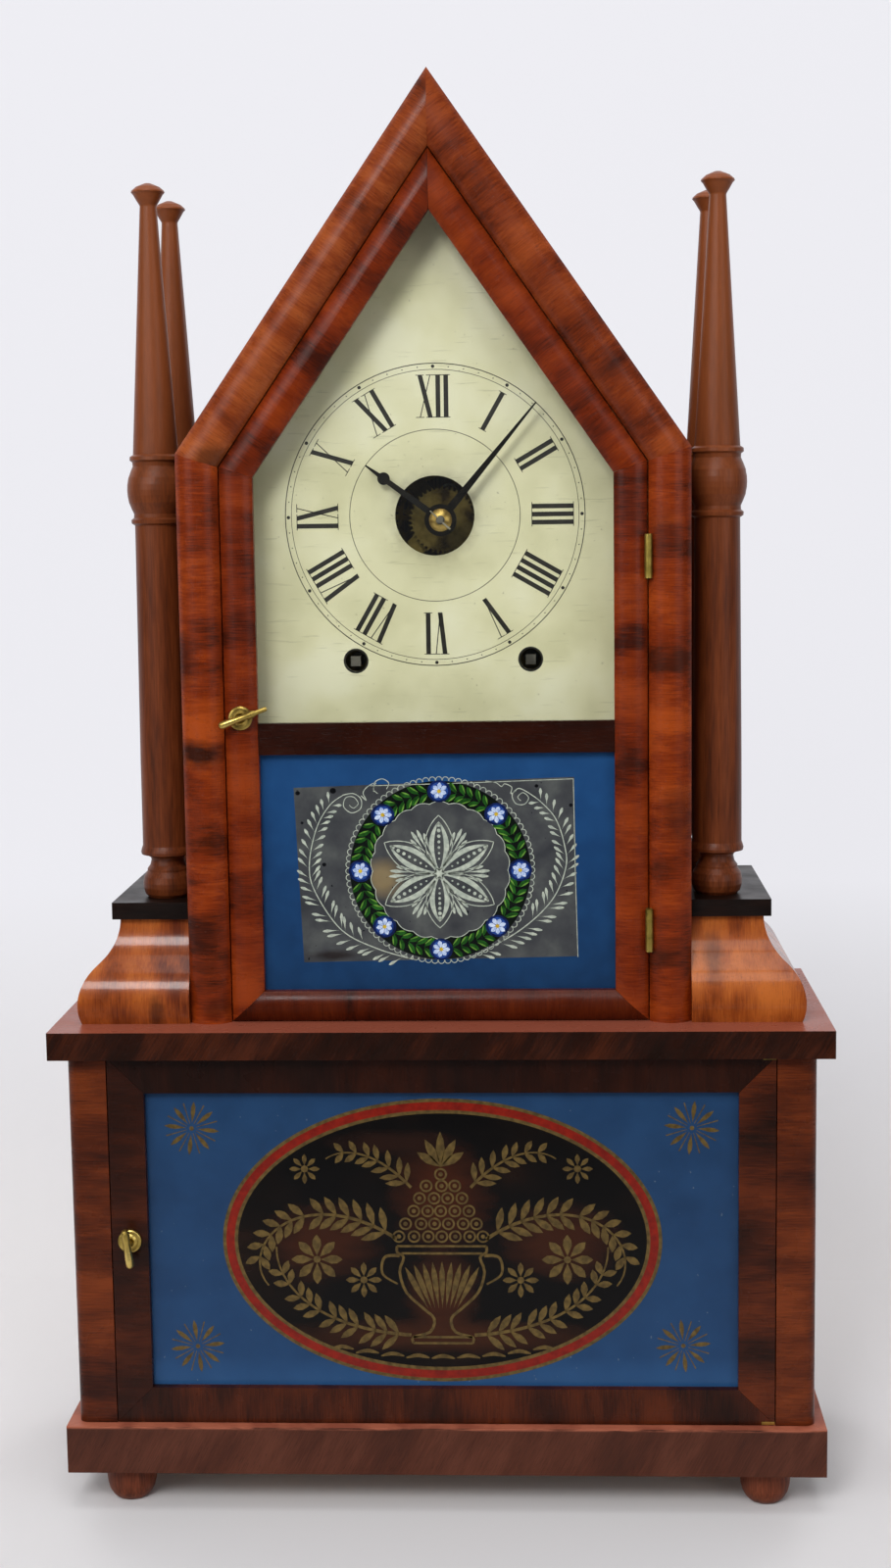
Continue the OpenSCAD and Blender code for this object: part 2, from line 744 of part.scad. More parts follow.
// Lantern pinion: wires between two shrouds, one wire in the direction given
module lantern(p, leaves, mod, towards, y_front, length) {
    pitch_r = mod * leaves / 2;
    wire_r = 0.42 * mod;
    shroud_t = 0.8;
    for (i = [0 : leaves - 1]) bar_y(from(p, pitch_r, towards + 360 / leaves * i), wire_r,
        y_front, y_front + length, WIRE_SIDES);
    for (y = [y_front - shroud_t, y_front + length])
        bar_y(p, pitch_r + wire_r + 0.3, y, y + shroud_t, ARBOR_SIDES);
}

// Arbor through both plates, its pivots just showing outside them
module arbor(p, radius) {
    bar_y(p, radius, plate_front_y - pivot_out, plate_back_y + pivot_out, ARBOR_SIDES);
}

module barrel(p, towards) {
    color(BRASS) {
        wheel(p, GREAT_TEETH, great_m, towards, great_y, great_t, 5);
        bar_y(p, drum_r, gap_front + 3, great_y, ARBOR_SIDES);
        bar_y(p, drum_r + 3, gap_front + 1.5, gap_front + 3, ARBOR_SIDES);
    }
    color(STEEL) {
        bar_y(p, barrel_r, plate_front_y - 3, great_y + great_t, ARBOR_SIDES);
        bar_y(p, arbor_r, great_y, plate_back_y + pivot_out, ARBOR_SIDES);
        slab(dial_front - 2, plate_front_y - dial_front) translate(p)
            square(winding_sq, center = true);
    }
}

module time_barrel() {
    barrel(barrel_p, great_dir - 180);
}

module strike_barrel() {
    barrel(strike_barrel_p, strike_second_dir);
}

pinion_over = 0.9;

module time_second() {
    color(BRASS) {
        wheel(second_p, SECOND_TEETH, second_m, second_dir - 180, second_y, wheel_t, 5);
        lantern(second_p, LEAVES_10, great_m, great_dir, great_y - pinion_over,
            great_t + 2 * pinion_over);
    }
    color(STEEL) arbor(second_p, arbor_r);
}

centre_r = 2;
motion_y = plate_front_y - 3;
hour_y = motion_y - 2.6;
hand_minute_y = dial_front - 8;
hand_hour_y = dial_front - 4.4;
arbor_tip_y = pane_y + glass_t + 1.6;

module centre_arbor() {
    color(BRASS) {
        wheel(centre_p, CENTRE_TEETH, centre_m, fourth_dir, centre_y, wheel_t, 5);
        lantern(centre_p, LEAVES_10, second_m, second_dir, second_y - pinion_over / 2,
            wheel_t + pinion_over);
        slab(motion_y - 0.3, wheel_t + 0.6) translate(centre_p)
            rotate(motion_dir + 180 / motion_leaves) pinion_outline(motion_leaves, motion_m);
    }
    color(STEEL) {
        bar_y(centre_p, centre_r, arbor_tip_y + 2, plate_back_y + pivot_out, ARBOR_SIDES);
        slab(arbor_tip_y, 3) translate(centre_p) square(centre_r * 1.3, center = true);
    }
}

// Solid cut pinion of the motion work, narrow leaves with room for its wheel's teeth
module pinion_outline(leaves, mod) {
    pitch_r = mod * leaves / 2;
    tip_r = pitch_r + 0.65 * mod;
    root_r = pitch_r - 1.05 * mod;
    root_a = 360 / leaves * 0.22;
    tip_a = 360 / leaves * 0.09;
    polygon([for (i = [0 : leaves - 1]) for (q = [[root_r, -root_a], [tip_r, -tip_a],
            [tip_r, tip_a], [root_r, root_a]])
        let (a = 360 / leaves * i + q[1]) [q[0] * cos(a), q[0] * sin(a)]]);
}

module motion_wheel() {
    color(BRASS)
    difference() {
        union() {
            wheel(motion_p, motion_teeth, motion_m, motion_dir + 180 + 180 / motion_teeth, motion_y,
                wheel_t, 0);
            slab(hour_y - 0.3, motion_y - hour_y + 0.3) translate(motion_p)
                rotate(motion_dir + 180 + 180 / motion_pinion)
                pinion_outline(motion_pinion, hour_m);
        }
        slab(hour_y - 1, plate_front_y - hour_y) arbor_hole(motion_p, stud_r);
    }
}

hour_pipe_r = 4.2;

module hour_wheel() {
    color(BRASS)
    difference() {
        union() {
            wheel(centre_p, hour_teeth, hour_m, motion_dir + 180 / hour_teeth, hour_y, wheel_t, 0);
            bar_y(centre_p, hour_pipe_r, hand_hour_y, hour_y + wheel_t, ARBOR_SIDES);
        }
        slab(hand_hour_y - 1, hour_y + wheel_t - hand_hour_y + 2) arbor_hole(centre_p, centre_r);
    }
}

module fourth_wheel() {
    color(BRASS) {
        wheel(fourth_p, FOURTH_TEETH, fourth_m, escape_dir, fourth_y, wheel_t, 4);
        lantern(fourth_p, LEAVES_8, centre_m, fourth_dir - 180, centre_y - pinion_over / 2,
            wheel_t + pinion_over);
    }
    color(STEEL) arbor(fourth_p, arbor_r);
}

module escape_wheel() {
    root_r = escape_r - 2.2;
    lean = 360 / ESCAPE_TEETH * 0.45;
    color(BRASS) {
        slab(escape_y, wheel_t) translate(escape_p) difference() {
            polygon([for (i = [0 : ESCAPE_TEETH - 1]) for (q = [[root_r, 0], [escape_r, lean],
                    [root_r, lean * 1.1]])
                let (a = 360 / ESCAPE_TEETH * i + q[1]) [q[0] * cos(a), q[0] * sin(a)]]);
            difference() {
                circle(r = root_r - 1.5, $fn = ARBOR_SIDES);
                circle(r = 3, $fn = ARBOR_SIDES);
                for (i = [0 : 3]) rotate(90 * i) translate([0, -1]) square([root_r, 2]);
            }
        }
        lantern(escape_p, LEAVES_8, fourth_m, escape_dir - 180, fourth_y - pinion_over / 2,
            wheel_t + pinion_over);
    }
    color(STEEL) arbor(escape_p, arbor_r);
}

pallet_clear = 1;

// Bent pallet strip over the escape wheel, its arbor, and the crutch in front of the plate
module verge() {
    reach = escape_r + pallet_clear;
    tip = [reach * sin(34), reach * cos(34) - verge_up];
    crutch_l = 46;
    color(STEEL) {
        slab(escape_y - 0.4, wheel_t + 0.8) translate(verge_p)
            polygon([[-3, 2], [3, 2], [tip[0] + 1.6, tip[1] + 2.2], [tip[0], tip[1]],
                [tip[0] - 1, tip[1] + 2.4], [2, -2.4], [-2, -2.4], [1 - tip[0], tip[1] + 2.4],
                [-tip[0], tip[1]], [-tip[0] - 1.6, tip[1] + 2.2]]);
        bar_y(verge_p, arbor_r, suspension_y + 3, plate_back_y + pivot_out, ARBOR_SIDES);
        translate([verge_p[0] - 1, suspension_y + 3, verge_p[1] - crutch_l]) cube([2, 1.2, crutch_l]);
        for (side = [-1, 1]) translate([verge_p[0] + side * 2.2 - 0.5, suspension_y - 2,
                verge_p[1] - crutch_l]) cube([1, 5.2, 2]);
        translate([verge_p[0] - 2.7, suspension_y + 3, verge_p[1] - crutch_l]) cube([5.4, 1.2, 2]);
    }
}

rod_r = 1;

module pendulum() {
    spring_gap = 0.3;
    spring_top = suspension_top - 3 - spring_gap;
    bob_z = verge_p[1] - pendulum_len;
    lens_r = (bob_d * bob_d / 4 + bob_t * bob_t / 4) / bob_t;
    color(STEEL) {
        translate([verge_p[0] - 1.8, suspension_y - 0.2, verge_p[1] - 8])
            cube([3.6, 0.4, spring_top - verge_p[1] + 8]);
        translate([verge_p[0], suspension_y, bob_z]) cylinder(r = rod_r, h = pendulum_len - 8,
            $fn = ARBOR_SIDES);
        translate([verge_p[0], suspension_y, bob_z - bob_d / 2 - 7]) cylinder(r = rod_r, h = 9,
            $fn = ARBOR_SIDES);
    }
    color(BRASS) {
        translate([verge_p[0], suspension_y, bob_z]) rotate([90, 0, 0]) rotate_extrude($fn = ROUND)
            intersection() {
                translate([0, bob_t / 2 - lens_r]) circle(r = lens_r, $fn = 4 * ROUND);
                translate([0, lens_r - bob_t / 2]) circle(r = lens_r, $fn = 4 * ROUND);
                translate([0, -bob_t]) square([bob_d / 2 - 0.4, 2 * bob_t]);
            }
        translate([verge_p[0], suspension_y, bob_z - bob_d / 2 - 5]) cylinder(r = 3, h = 2.4,
            $fn = ARBOR_SIDES);
    }
}

module strike_second() {
    lift_pins = 8;
    lift_r = 22.3;
    color(BRASS) {
        wheel(strike_second_p, STRIKE_SECOND_TEETH, strike_second_m, strike_third_dir, second_y,
            wheel_t, 5);
        lantern(strike_second_p, LEAVES_10, great_m, strike_second_dir - 180, great_y - pinion_over,
            great_t + 2 * pinion_over);
    }
    color(STEEL) {
        arbor(strike_second_p, arbor_r);
        for (i = [0 : lift_pins - 1])
            bar_y(from(strike_second_p, lift_r, 360 / lift_pins * i), 0.6, second_y - pin_reach, second_y,
                WIRE_SIDES);
    }
}

module strike_third() {
    color(BRASS) {
        wheel(strike_third_p, STRIKE_THIRD_TEETH, strike_third_m, fly_dir, strike_third_y, wheel_t, 4);
        lantern(strike_third_p, LEAVES_8, strike_second_m, strike_third_dir - 180,
            second_y - pinion_over / 2, wheel_t + pinion_over);
    }
    color(STEEL) arbor(strike_third_p, arbor_r);
}

module fly() {
    blade_r = 13;
    color(BRASS) {
        lantern(fly_p, LEAVES_8, strike_third_m, fly_dir - 180, strike_third_y - pinion_over / 2,
            wheel_t + pinion_over);
        translate([fly_p[0] - blade_r, gap_front + 2, fly_p[1] - 0.4]) cube([2 * blade_r, 7, 0.8]);
    }
    color(STEEL) arbor(fly_p, arbor_r);
}

gong_p = [46, upper_z + 62];
gong_wire = 2.6;
gong_turns = 4;
gong_step = 5.2;
gong_y = inner_back - 13;
hammer_clear = 1.5;

// Centre line of the gong: a flat spiral of wire, drawn in steps of a few degrees
function spiral_at(a) = let (r = 9 + gong_step * a / 360) [gong_p[0] + r * cos(a), gong_p[1] + r * sin(a)];

module gong() {
    spoke = 20;
    color(STEEL)
    slab(gong_y - gong_wire / 2, gong_wire) polygon(concat(
        [for (a = [0 : spoke : 360 * gong_turns]) let (c = spiral_at(a))
            [c[0] + gong_wire / 2 * cos(a), c[1] + gong_wire / 2 * sin(a)]],
        [for (a = [360 * gong_turns : -spoke : 0]) let (c = spiral_at(a))
            [c[0] - gong_wire / 2 * cos(a), c[1] - gong_wire / 2 * sin(a)]]));
    color(IRON) {
        bar_y(gong_p, 9, gong_y - gong_wire, inner_back, ROUND);
        bar_y(gong_p, 16, inner_back - 4, inner_back, ROUND);
    }
}

module hammer() {
    tail_l = hammer_dist - 23.4;
    rod_t = 2;
    rod_y = plate_back_y + 4;
    head_w = 12;
    head_x = gong_p[0] - 9 - gong_step * (gong_turns + 0.5) - hammer_clear - head_w / 2;
    run = [head_x - hammer_p[0], gong_p[1] - hammer_p[1]];
    color(STEEL) {
        bar_y(hammer_p, arbor_r, plate_front_y - pivot_out, rod_y + rod_t, ARBOR_SIDES);
        slab(second_y - pin_reach, pin_reach - 0.25) translate(hammer_p) rotate(hammer_dir + 180)
            translate([0, -1]) square([tail_l, 2]);
        slab(rod_y, rod_t) translate(hammer_p) rotate(atan2(run[1], run[0]))
            translate([0, -rod_t / 2]) square([norm(run), rod_t]);
        bar_y([head_x, gong_p[1]], rod_t / 2, rod_y, gong_y, ARBOR_SIDES);
    }
    color(BRASS) translate([head_x - head_w / 2, gong_y - 5, gong_p[1] - 4]) cube([head_w, 10, 8]);
}

// Flat hands: a tapered blade from the arbor, cut by the outline of each
module minute_hand() {
    collar_r = 7.4;
    dome_r = 5.3;
    dome_h = 2.2;
    dome_sphere_r = (dome_r * dome_r + dome_h * dome_h) / (2 * dome_h);
    color(BLACK) slab(hand_minute_y, hand_t) translate(centre_p) rotate(90 - minute_angle) difference() {
        union() {
            polygon([[0, -2], [minute_len * 0.45, -1.3], [minute_len, -0.35], [minute_len, 0.35],
                [minute_len * 0.45, 1.3], [0, 2]]);
            circle(r = collar_r, $fn = ROUND);
        }
        circle(r = centre_r + running, $fn = ROUND);
    }
    color(BRASS) translate([centre_p[0], hand_minute_y, centre_p[1]]) rotate([90, 0, 0]) difference() {
        rotate_extrude($fn = ROUND) intersection() {
            translate([0, dome_h - dome_sphere_r]) circle(r = dome_sphere_r, $fn = 4 * ROUND);
            square([dome_r, dome_h]);
        }
        translate([0, 0, -1]) cylinder(r = centre_r + running, h = dome_h + 2, $fn = ROUND);
    }
}

module hour_hand() {
    boss_at = 0.76;
    color(BLACK) slab(hand_hour_y, hand_t) translate(centre_p) rotate(90 - hour_angle) difference() {
        union() {
            polygon([[0, -1.6], [hour_len * boss_at, -1.2], [hour_len, -0.35], [hour_len, 0.35],
                [hour_len * boss_at, 1.2], [0, 1.6]]);
            translate([hour_len * boss_at, 0]) circle(r = 2.9, $fn = ROUND);
            circle(r = hour_pipe_r + 2, $fn = ROUND);
        }
        circle(r = hour_pipe_r + running, $fn = ROUND);
    }
}

// One leaf of the spring: an arc over the case floor, narrower leaves higher up
module leaf_spring() {
    bend_r = (leaf_half * leaf_half + leaf_drop * leaf_drop) / (2 * leaf_drop);
    shorten = (leaf_half - 32) / (leaf_n - 1);
    low = plinth_top + saddle_h;
    mid_y = (lower_front + front_t + inner_back) / 2;
    color(STEEL)
    for (i = [0 : leaf_n - 1]) slab(mid_y - leaf_w / 2, leaf_w) intersection() {
        translate([0, low - bend_r]) difference() {
            circle(r = bend_r + leaf_t * (i + 1) - kerf, $fn = 4 * ROUND);
            circle(r = bend_r + leaf_t * i, $fn = 4 * ROUND);
        }
        translate([shorten * i - leaf_half, low - 2 * leaf_drop])
            square([2 * (leaf_half - shorten * i), 4 * leaf_drop]);
    }
}

module spring_saddle() {
    low = plinth_top + saddle_h;
    mid_y = (lower_front + front_t + inner_back) / 2;
    stack = leaf_n * leaf_t;
    strap_t = 3;
    bolt_d = 8;
    saddle_l = 40;
    saddle_gap = 0.4;
    color(IRON) {
        translate([-saddle_l / 2, mid_y - leaf_w / 2 - 6, plinth_top])
            cube([saddle_l, leaf_w + 12, saddle_h - saddle_gap]);
        translate([-saddle_l / 4, mid_y - leaf_w / 2 - 6, low + stack + 0.3])
            cube([saddle_l / 2, leaf_w + 12, strap_t]);
        for (side = [-1, 1]) translate([-saddle_l / 4, mid_y + side * (leaf_w / 2 + 3.3) - 2.5, plinth_top])
            cube([saddle_l / 2, 5, saddle_h + stack + 1]);
    }
    color(STEEL)
    for (side = [-1, 1]) translate([0, mid_y + side * (leaf_w / 2 + 3.3), low + stack])
        cylinder(d = bolt_d, h = strap_t + 6, $fn = 6);
}

// Room for a hinge leaf in the edge of the frame or of the door, open to the front
module hinge_mortise(edge_x) {
    for (z = [hinge_low, hinge_high]) translate([edge_x, crown_y, upper_z + z - knuckle_l / 2])
        cube([hinge_leaf_t, hinge_y + hinge_leaf_d - crown_y, knuckle_l]);
}

// One hinge leaf, its plate set back from the knuckles and a tab up to each knuckle it carries
module hinge_leaf(edge_x, base, thirds) {
    third = knuckle_l / 3;
    translate([edge_x, leaf_front_y, base]) cube([hinge_leaf_t, hinge_y + hinge_leaf_d - leaf_front_y,
        knuckle_l]);
    for (k = thirds) translate([0, 0, base + third * k]) {
        translate([hinge_x, hinge_y, 0]) cylinder(d = knuckle_d, h = third - kerf, $fn = ROUND);
        translate([edge_x, hinge_y, 0]) cube([hinge_leaf_t, leaf_front_y - hinge_y + kerf, third - kerf]);
    }
}

module case_hinges() {
    color(BRASS)
    for (z = [hinge_low, hinge_high]) {
        base = upper_z + z - knuckle_l / 2;
        hinge_leaf(joint_x, base, [0, 2]);
        translate([hinge_x, hinge_y, base]) cylinder(d = pin_d, h = knuckle_l - kerf, $fn = ROUND);
    }
}

module door_hinges() {
    color(BRASS)
    for (z = [hinge_low, hinge_high]) {
        base = upper_z + z - knuckle_l / 2;
        difference() {
            hinge_leaf(joint_x - door_gap - hinge_leaf_t, base, [1]);
            translate([hinge_x, hinge_y, base - 1]) cylinder(d = pin_d + 2 * running,
                h = knuckle_l + 2, $fn = ROUND);
        }
    }
}

upper_latch_p = [door_outer + door_w / 2 - upper_half, upper_z + upper_latch_up];
lower_latch_p = [lower_door_w / 2 - lower_door_half, plinth_top + lower_h / 2 + 0.6];

// Left half of the upper door's frame: stile and rake
module door_half() {
    section_edge = door_edge_t;
    intersection() {
        moulding([door_outer + door_w / 2 - upper_half, upper_z + wall_h / 2], 0, 2 * wall_h,
            frame_back) door_section();
        slab(door_edge_y - door_rise, section_edge + door_rise)
            polygon(left_post(door_outer, door_inner, door_base, window_base));
    }
    intersection() {
        moulding(slope_mid(door_outer, door_inner), 90 - roof_a, 2 * gable_h, frame_back)
            door_section();
        slab(door_edge_y - door_rise, section_edge + door_rise)
            polygon(left_slope(door_outer, door_inner));
    }
}

// Section of a door member, its rebate on the side of the glass
module door_section() {
    difference() {
        crown_section(door_w, door_edge_t, door_rise);
        translate([door_w / 2 - rebate_w, -1]) square([rebate_w + 1, door_edge_t - lip_t + 1]);
    }
}

module bottom_rail_section() {
    difference() {
        crown_section(bottom_rail_h, door_edge_t, door_rise);
        translate([bottom_rail_h / 2 - rebate_w, -1]) square([rebate_w + 1, door_edge_t - lip_t + 1]);
    }
}

module upper_door_frame() {
    out_half = upper_half - door_outer;
    color(MAHOGANY)
    difference() {
        union() {
            door_half();
            on_right() door_half();
            intersection() {
                moulding([0, door_base + bottom_rail_h / 2], -90, upper_w, frame_back)
                    bottom_rail_section();
                slab(door_edge_y - door_rise, door_edge_t + door_rise)
                    polygon([[-out_half, door_base], [-opening_half, window_base],
                        [opening_half, window_base], [out_half, door_base]]);
            }
            slab(door_edge_y, lip_t)
                pane(kerf - opening_half, window_top, opening_half - kerf, dial_base);
            slab(pane_y, door_edge_t - lip_t)
                pane(kerf - opening_half, window_top + rebate_w, opening_half - kerf,
                    dial_base - rebate_w);
        }
        for (ends = concat([[[0, peak(door_inner)], [0, peak(door_outer)]]],
                [for (side = [-1, 1]) [[side * out_half, door_base], [side * opening_half, window_base]]],
                [for (side = [-1, 1]) [[side * out_half, eave(door_outer)],
                    [side * opening_half, eave(door_inner)]]]))
            saw_line(ends[0], ends[1], door_edge_y - door_rise - 1, door_edge_t + door_rise + 2);
        hinge_mortise(joint_x - door_gap - hinge_leaf_t);
        bar_y(upper_latch_p, spindle_d / 2 + running, crown_y, frame_back + 1, ROUND);
    }
}

module dial_glass() {
    color(GLASS) slab(pane_y, glass_t)
        polygon(house(door_inner - rebate_w + pane_clear, dial_base - rebate_w + pane_clear));
}

module upper_tablet() {
    half = opening_half + rebate_w - pane_clear;
    color(BLUE) slab(pane_y, glass_t)
        pane(-half, window_base - rebate_w + pane_clear, half, window_top + rebate_w - pane_clear);
}

module rosette(p, y_face) {
    color(BRASS) slab(y_face - rosette_t, rosette_t) translate(p) difference() {
        circle(d = rosette_d, $fn = ROUND);
        circle(r = spindle_d / 2 + running, $fn = ROUND);
    }
}

upper_rosette_y = door_edge_y - door_rise;

module upper_latch_plate() {
    rosette(upper_latch_p, upper_rosette_y);
}

module lower_latch_plate() {
    rosette(lower_latch_p, lower_front);
}

// Turn piece in front, spindle through the door and a tongue behind it, all turned as one
module turn_latch(p, angle, y_front, y_tongue, tongue_angle) {
    tongue_l = 15;
    tongue_t = 1.6;
    grip_y = y_front;
    color(BRASS) {
        bar_y(p, spindle_d / 2, grip_y + 1, y_tongue + tongue_t, ROUND);
        slab(grip_y, 2.6) translate(p) rotate(angle) {
            polygon([[-turn_len / 2, -3.2], [-turn_len / 2 + 2, -3.6], [-3, -1.2], [turn_len / 2, -0.9],
                [turn_len / 2, 0.9], [-3, 1.2], [-turn_len / 2 + 2, 3.6], [-turn_len / 2, 3.2]]);
            circle(r = 2.4, $fn = ROUND);
        }
        slab(y_tongue, tongue_t) translate(p) rotate(tongue_angle) translate([0, -2.5])
            square([tongue_l, 5]);
    }
}

module upper_latch() {
    turn_latch(upper_latch_p, 21, upper_rosette_y - rosette_t - 5, frame_back + 0.4, -90);
}

module lower_latch() {
    turn_latch(lower_latch_p, 97, lower_front - latch_out, lower_front + front_t + 0.4, -90);
}

module lower_door_frame() {
    color(WALNUT)
    difference() {
        slab(lower_front, front_t) difference() {
            pane(-lower_door_half, lower_door_base, lower_door_half, lower_door_top);
            pane(-lower_pane_half, lower_door_base + lower_door_w, lower_pane_half,
                lower_door_top - lower_door_w);
        }
        slab(lower_pane_y, front_t)
            pane(-lower_pane_half - rebate_w, lower_door_base + lower_door_w - rebate_w,
                lower_pane_half + rebate_w, lower_door_top - lower_door_w + rebate_w);
        for (x = [-1, 1]) for (way = [-1, 1]) {
            z = way > 0 ? lower_door_base : lower_door_top;
            saw_line([x * lower_door_half, z], [x * lower_pane_half, z + way * lower_door_w],
                lower_front - 1, front_t + 2);
        }
        bar_y(lower_latch_p, spindle_d / 2 + running, lower_front - 1, lower_front + front_t + 1, ROUND);
        for (z = [lower_door_base - 1, lower_door_top - pivot_plate_t])
            translate([lower_door_half - pivot_plate_w, lower_front - 1, z])
                cube([lower_w, pivot_plate_d + 1, pivot_plate_t + 1]);
    }
}

module lower_tablet() {
    half = lower_pane_half + rebate_w - pane_clear;
    color(BLUE) slab(lower_pane_y, glass_t)
        pane(-half, lower_door_base + lower_door_w - rebate_w + pane_clear, half,
            lower_door_top - lower_door_w + rebate_w - pane_clear);
}

module lower_pivots() {
    color(BRASS)
    for (top = [false, true]) {
        z = top ? lower_door_top - pivot_plate_t : lower_door_base;
        translate([lower_door_half - pivot_plate_w, lower_front, z])
            cube([pivot_plate_w, pivot_plate_d, pivot_plate_t]);
        translate([pivot_x, pivot_y, top ? z : z - pivot_pin_l])
            cylinder(d = pin_d, h = pivot_pin_l + pivot_plate_t / 2, $fn = ROUND);
    }
}

feet();
plinth_facing();
base_board();
lower_side();  // lower_side_left
on_right() lower_side();  // lower_side_right
lower_back_board();
lower_stile();  // lower_stile_left
on_right() lower_stile();  // lower_stile_right
cornice();
ogee();  // ogee_left
on_right() ogee();  // ogee_right
column_block();  // column_block_left
on_right() column_block();  // column_block_right
columns();  // columns_left
on_right() columns();  // columns_right
upper_side();  // upper_side_left
on_right() upper_side();  // upper_side_right
roof();  // roof_left
on_right() roof();  // roof_right
upper_back_board();
frame_stile();  // frame_stile_left
on_right() frame_stile() on_right() hinge_mortise(joint_x);  // frame_stile_right
frame_rake();  // frame_rake_left
on_right() frame_rake();  // frame_rake_right
dial_plate();
dial_cleats();
movement_blocks();
plate_front();
plate_back();
leaf_spring();
spring_saddle();
gong();
case_hinges();
upper_door_frame();
dial_glass();
upper_tablet();
door_hinges();
upper_latch_plate();
upper_latch();
lower_door_frame();
lower_tablet();
lower_pivots();
lower_latch_plate();
lower_latch();
minute_hand();
centre_arbor();
hour_hand();
hour_wheel();
motion_wheel();
time_barrel();
time_second();
fourth_wheel();
escape_wheel();
verge();
pendulum();
strike_barrel();
strike_second();
strike_third();
fly();
hammer();
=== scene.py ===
import math
import random

import bmesh
import bpy
from mathutils import Matrix, Vector


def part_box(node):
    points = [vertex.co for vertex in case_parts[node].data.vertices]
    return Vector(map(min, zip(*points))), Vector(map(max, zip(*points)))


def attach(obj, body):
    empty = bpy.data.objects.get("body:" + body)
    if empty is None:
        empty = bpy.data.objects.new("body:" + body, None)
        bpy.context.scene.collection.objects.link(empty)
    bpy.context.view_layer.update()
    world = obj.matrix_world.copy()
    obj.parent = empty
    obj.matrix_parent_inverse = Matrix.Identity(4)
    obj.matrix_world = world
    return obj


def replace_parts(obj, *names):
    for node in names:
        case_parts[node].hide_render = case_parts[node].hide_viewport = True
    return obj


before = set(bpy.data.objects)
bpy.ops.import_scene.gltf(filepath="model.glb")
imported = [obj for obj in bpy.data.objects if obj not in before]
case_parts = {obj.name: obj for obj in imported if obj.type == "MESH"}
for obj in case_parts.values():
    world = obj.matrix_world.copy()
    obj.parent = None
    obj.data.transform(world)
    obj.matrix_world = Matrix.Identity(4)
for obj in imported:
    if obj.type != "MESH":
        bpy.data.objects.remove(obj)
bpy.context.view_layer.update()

# ---------------------------------------------------------------------------------------------
# Feet: four small turned feet under the corners of the plinth.
# Unfinished light cherry, turned on the lathe with fine rings and glued into the base board.
# They have faded paler and pinker than the case.
MM = 0.001


def hue(code):
    """A colour from its six-figure code, as light values."""
    parts = [int(code[i:i + 2], 16) / 255 for i in (0, 2, 4)]
    return (*[p / 12.92 if p <= 0.04045 else ((p + 0.055) / 1.055) ** 2.4 for p in parts], 1.0)


def finish(name, rough=0.4, metal=0.0, coat=0.0, shine=0.5):
    """A new finish: its material, node tree, shader and place in the object."""
    material = bpy.data.materials.new(name)
    material.use_nodes = True
    tree = material.node_tree
    shader = tree.nodes["Principled BSDF"]
    shader.inputs["Roughness"].default_value = rough
    shader.inputs["Metallic"].default_value = metal
    shader.inputs["Coat Weight"].default_value = coat
    shader.inputs["Coat Roughness"].default_value = 0.12
    shader.inputs["Specular IOR Level"].default_value = shine
    return material, tree, shader, tree.nodes.new("ShaderNodeTexCoord").outputs["Object"]


def add(tree, kind, inputs, out=0, **settings):
    """Adds a shader node, joins its inputs to sockets or values, and gives one output."""
    made = tree.nodes.new("ShaderNode" + kind)
    for key, value in settings.items():
        setattr(made, key, value)
    for key, value in inputs.items():
        if isinstance(value, bpy.types.NodeSocket):
            tree.links.new(value, made.inputs[key])
        else:
            made.inputs[key].default_value = value
    return made.outputs[out]


def reckon(tree, how, first, second=0.0, third=0.0):
    """Arithmetic on shader values."""
    return add(tree, "Math", {0: first, 1: second, 2: third}, operation=how)


def times(tree, first, second):
    return reckon(tree, "MULTIPLY", first, second)


def axes_of(tree, place):
    """The x, y and z of a place."""
    return add(tree, "SeparateXYZ", {0: place}).node.outputs


def mottle(tree, place, size, detail=2.0, rough=0.5, shift=(0, 0, 0)):
    """Cloudy noise with features of that size in millimetres, one number or one for each axis."""
    sizes = size if isinstance(size, tuple) else (size,) * 3
    spread = add(tree, "Mapping", {"Vector": place, "Location": shift,
                                   "Scale": tuple(1 / (s * MM) for s in sizes)})
    return add(tree, "TexNoise", {"Vector": spread, "Scale": 1.0, "Detail": detail, "Roughness": rough})


def tones(tree, value, *stops):
    """Colours along a value from 0 to 1."""
    output = add(tree, "ValToRGB", {0: value})
    ramp = output.node.color_ramp
    while len(ramp.elements) < len(stops):
        ramp.elements.new(0.5)
    for element, (at, code) in zip(ramp.elements, stops):
        element.position = at
        element.color = hue(code) if isinstance(code, str) else (code, code, code, 1.0)
    return output


def lay(tree, share, under, over, how="MIX"):
    """Lays one colour over another."""
    return add(tree, "Mix", {0: share, 6: under, 7: over}, 2, data_type="RGBA", blend_type=how)


def tint(tree, shader, colour):
    """Gives a finish its colour."""
    tree.links.new(colour, shader.inputs["Base Color"])


def relief(tree, shader, height, depth, strength=1.0):
    """Turns a height into relief of that depth in millimetres."""
    bump = add(tree, "Bump", {"Height": height, "Distance": depth * MM, "Strength": strength})
    tree.links.new(bump, shader.inputs["Normal"])


def dress(material, *parts):
    """Gives carried-over parts their finish."""
    for part in parts:
        slots = case_parts[part].data.materials
        slots.clear()
        slots.append(material)


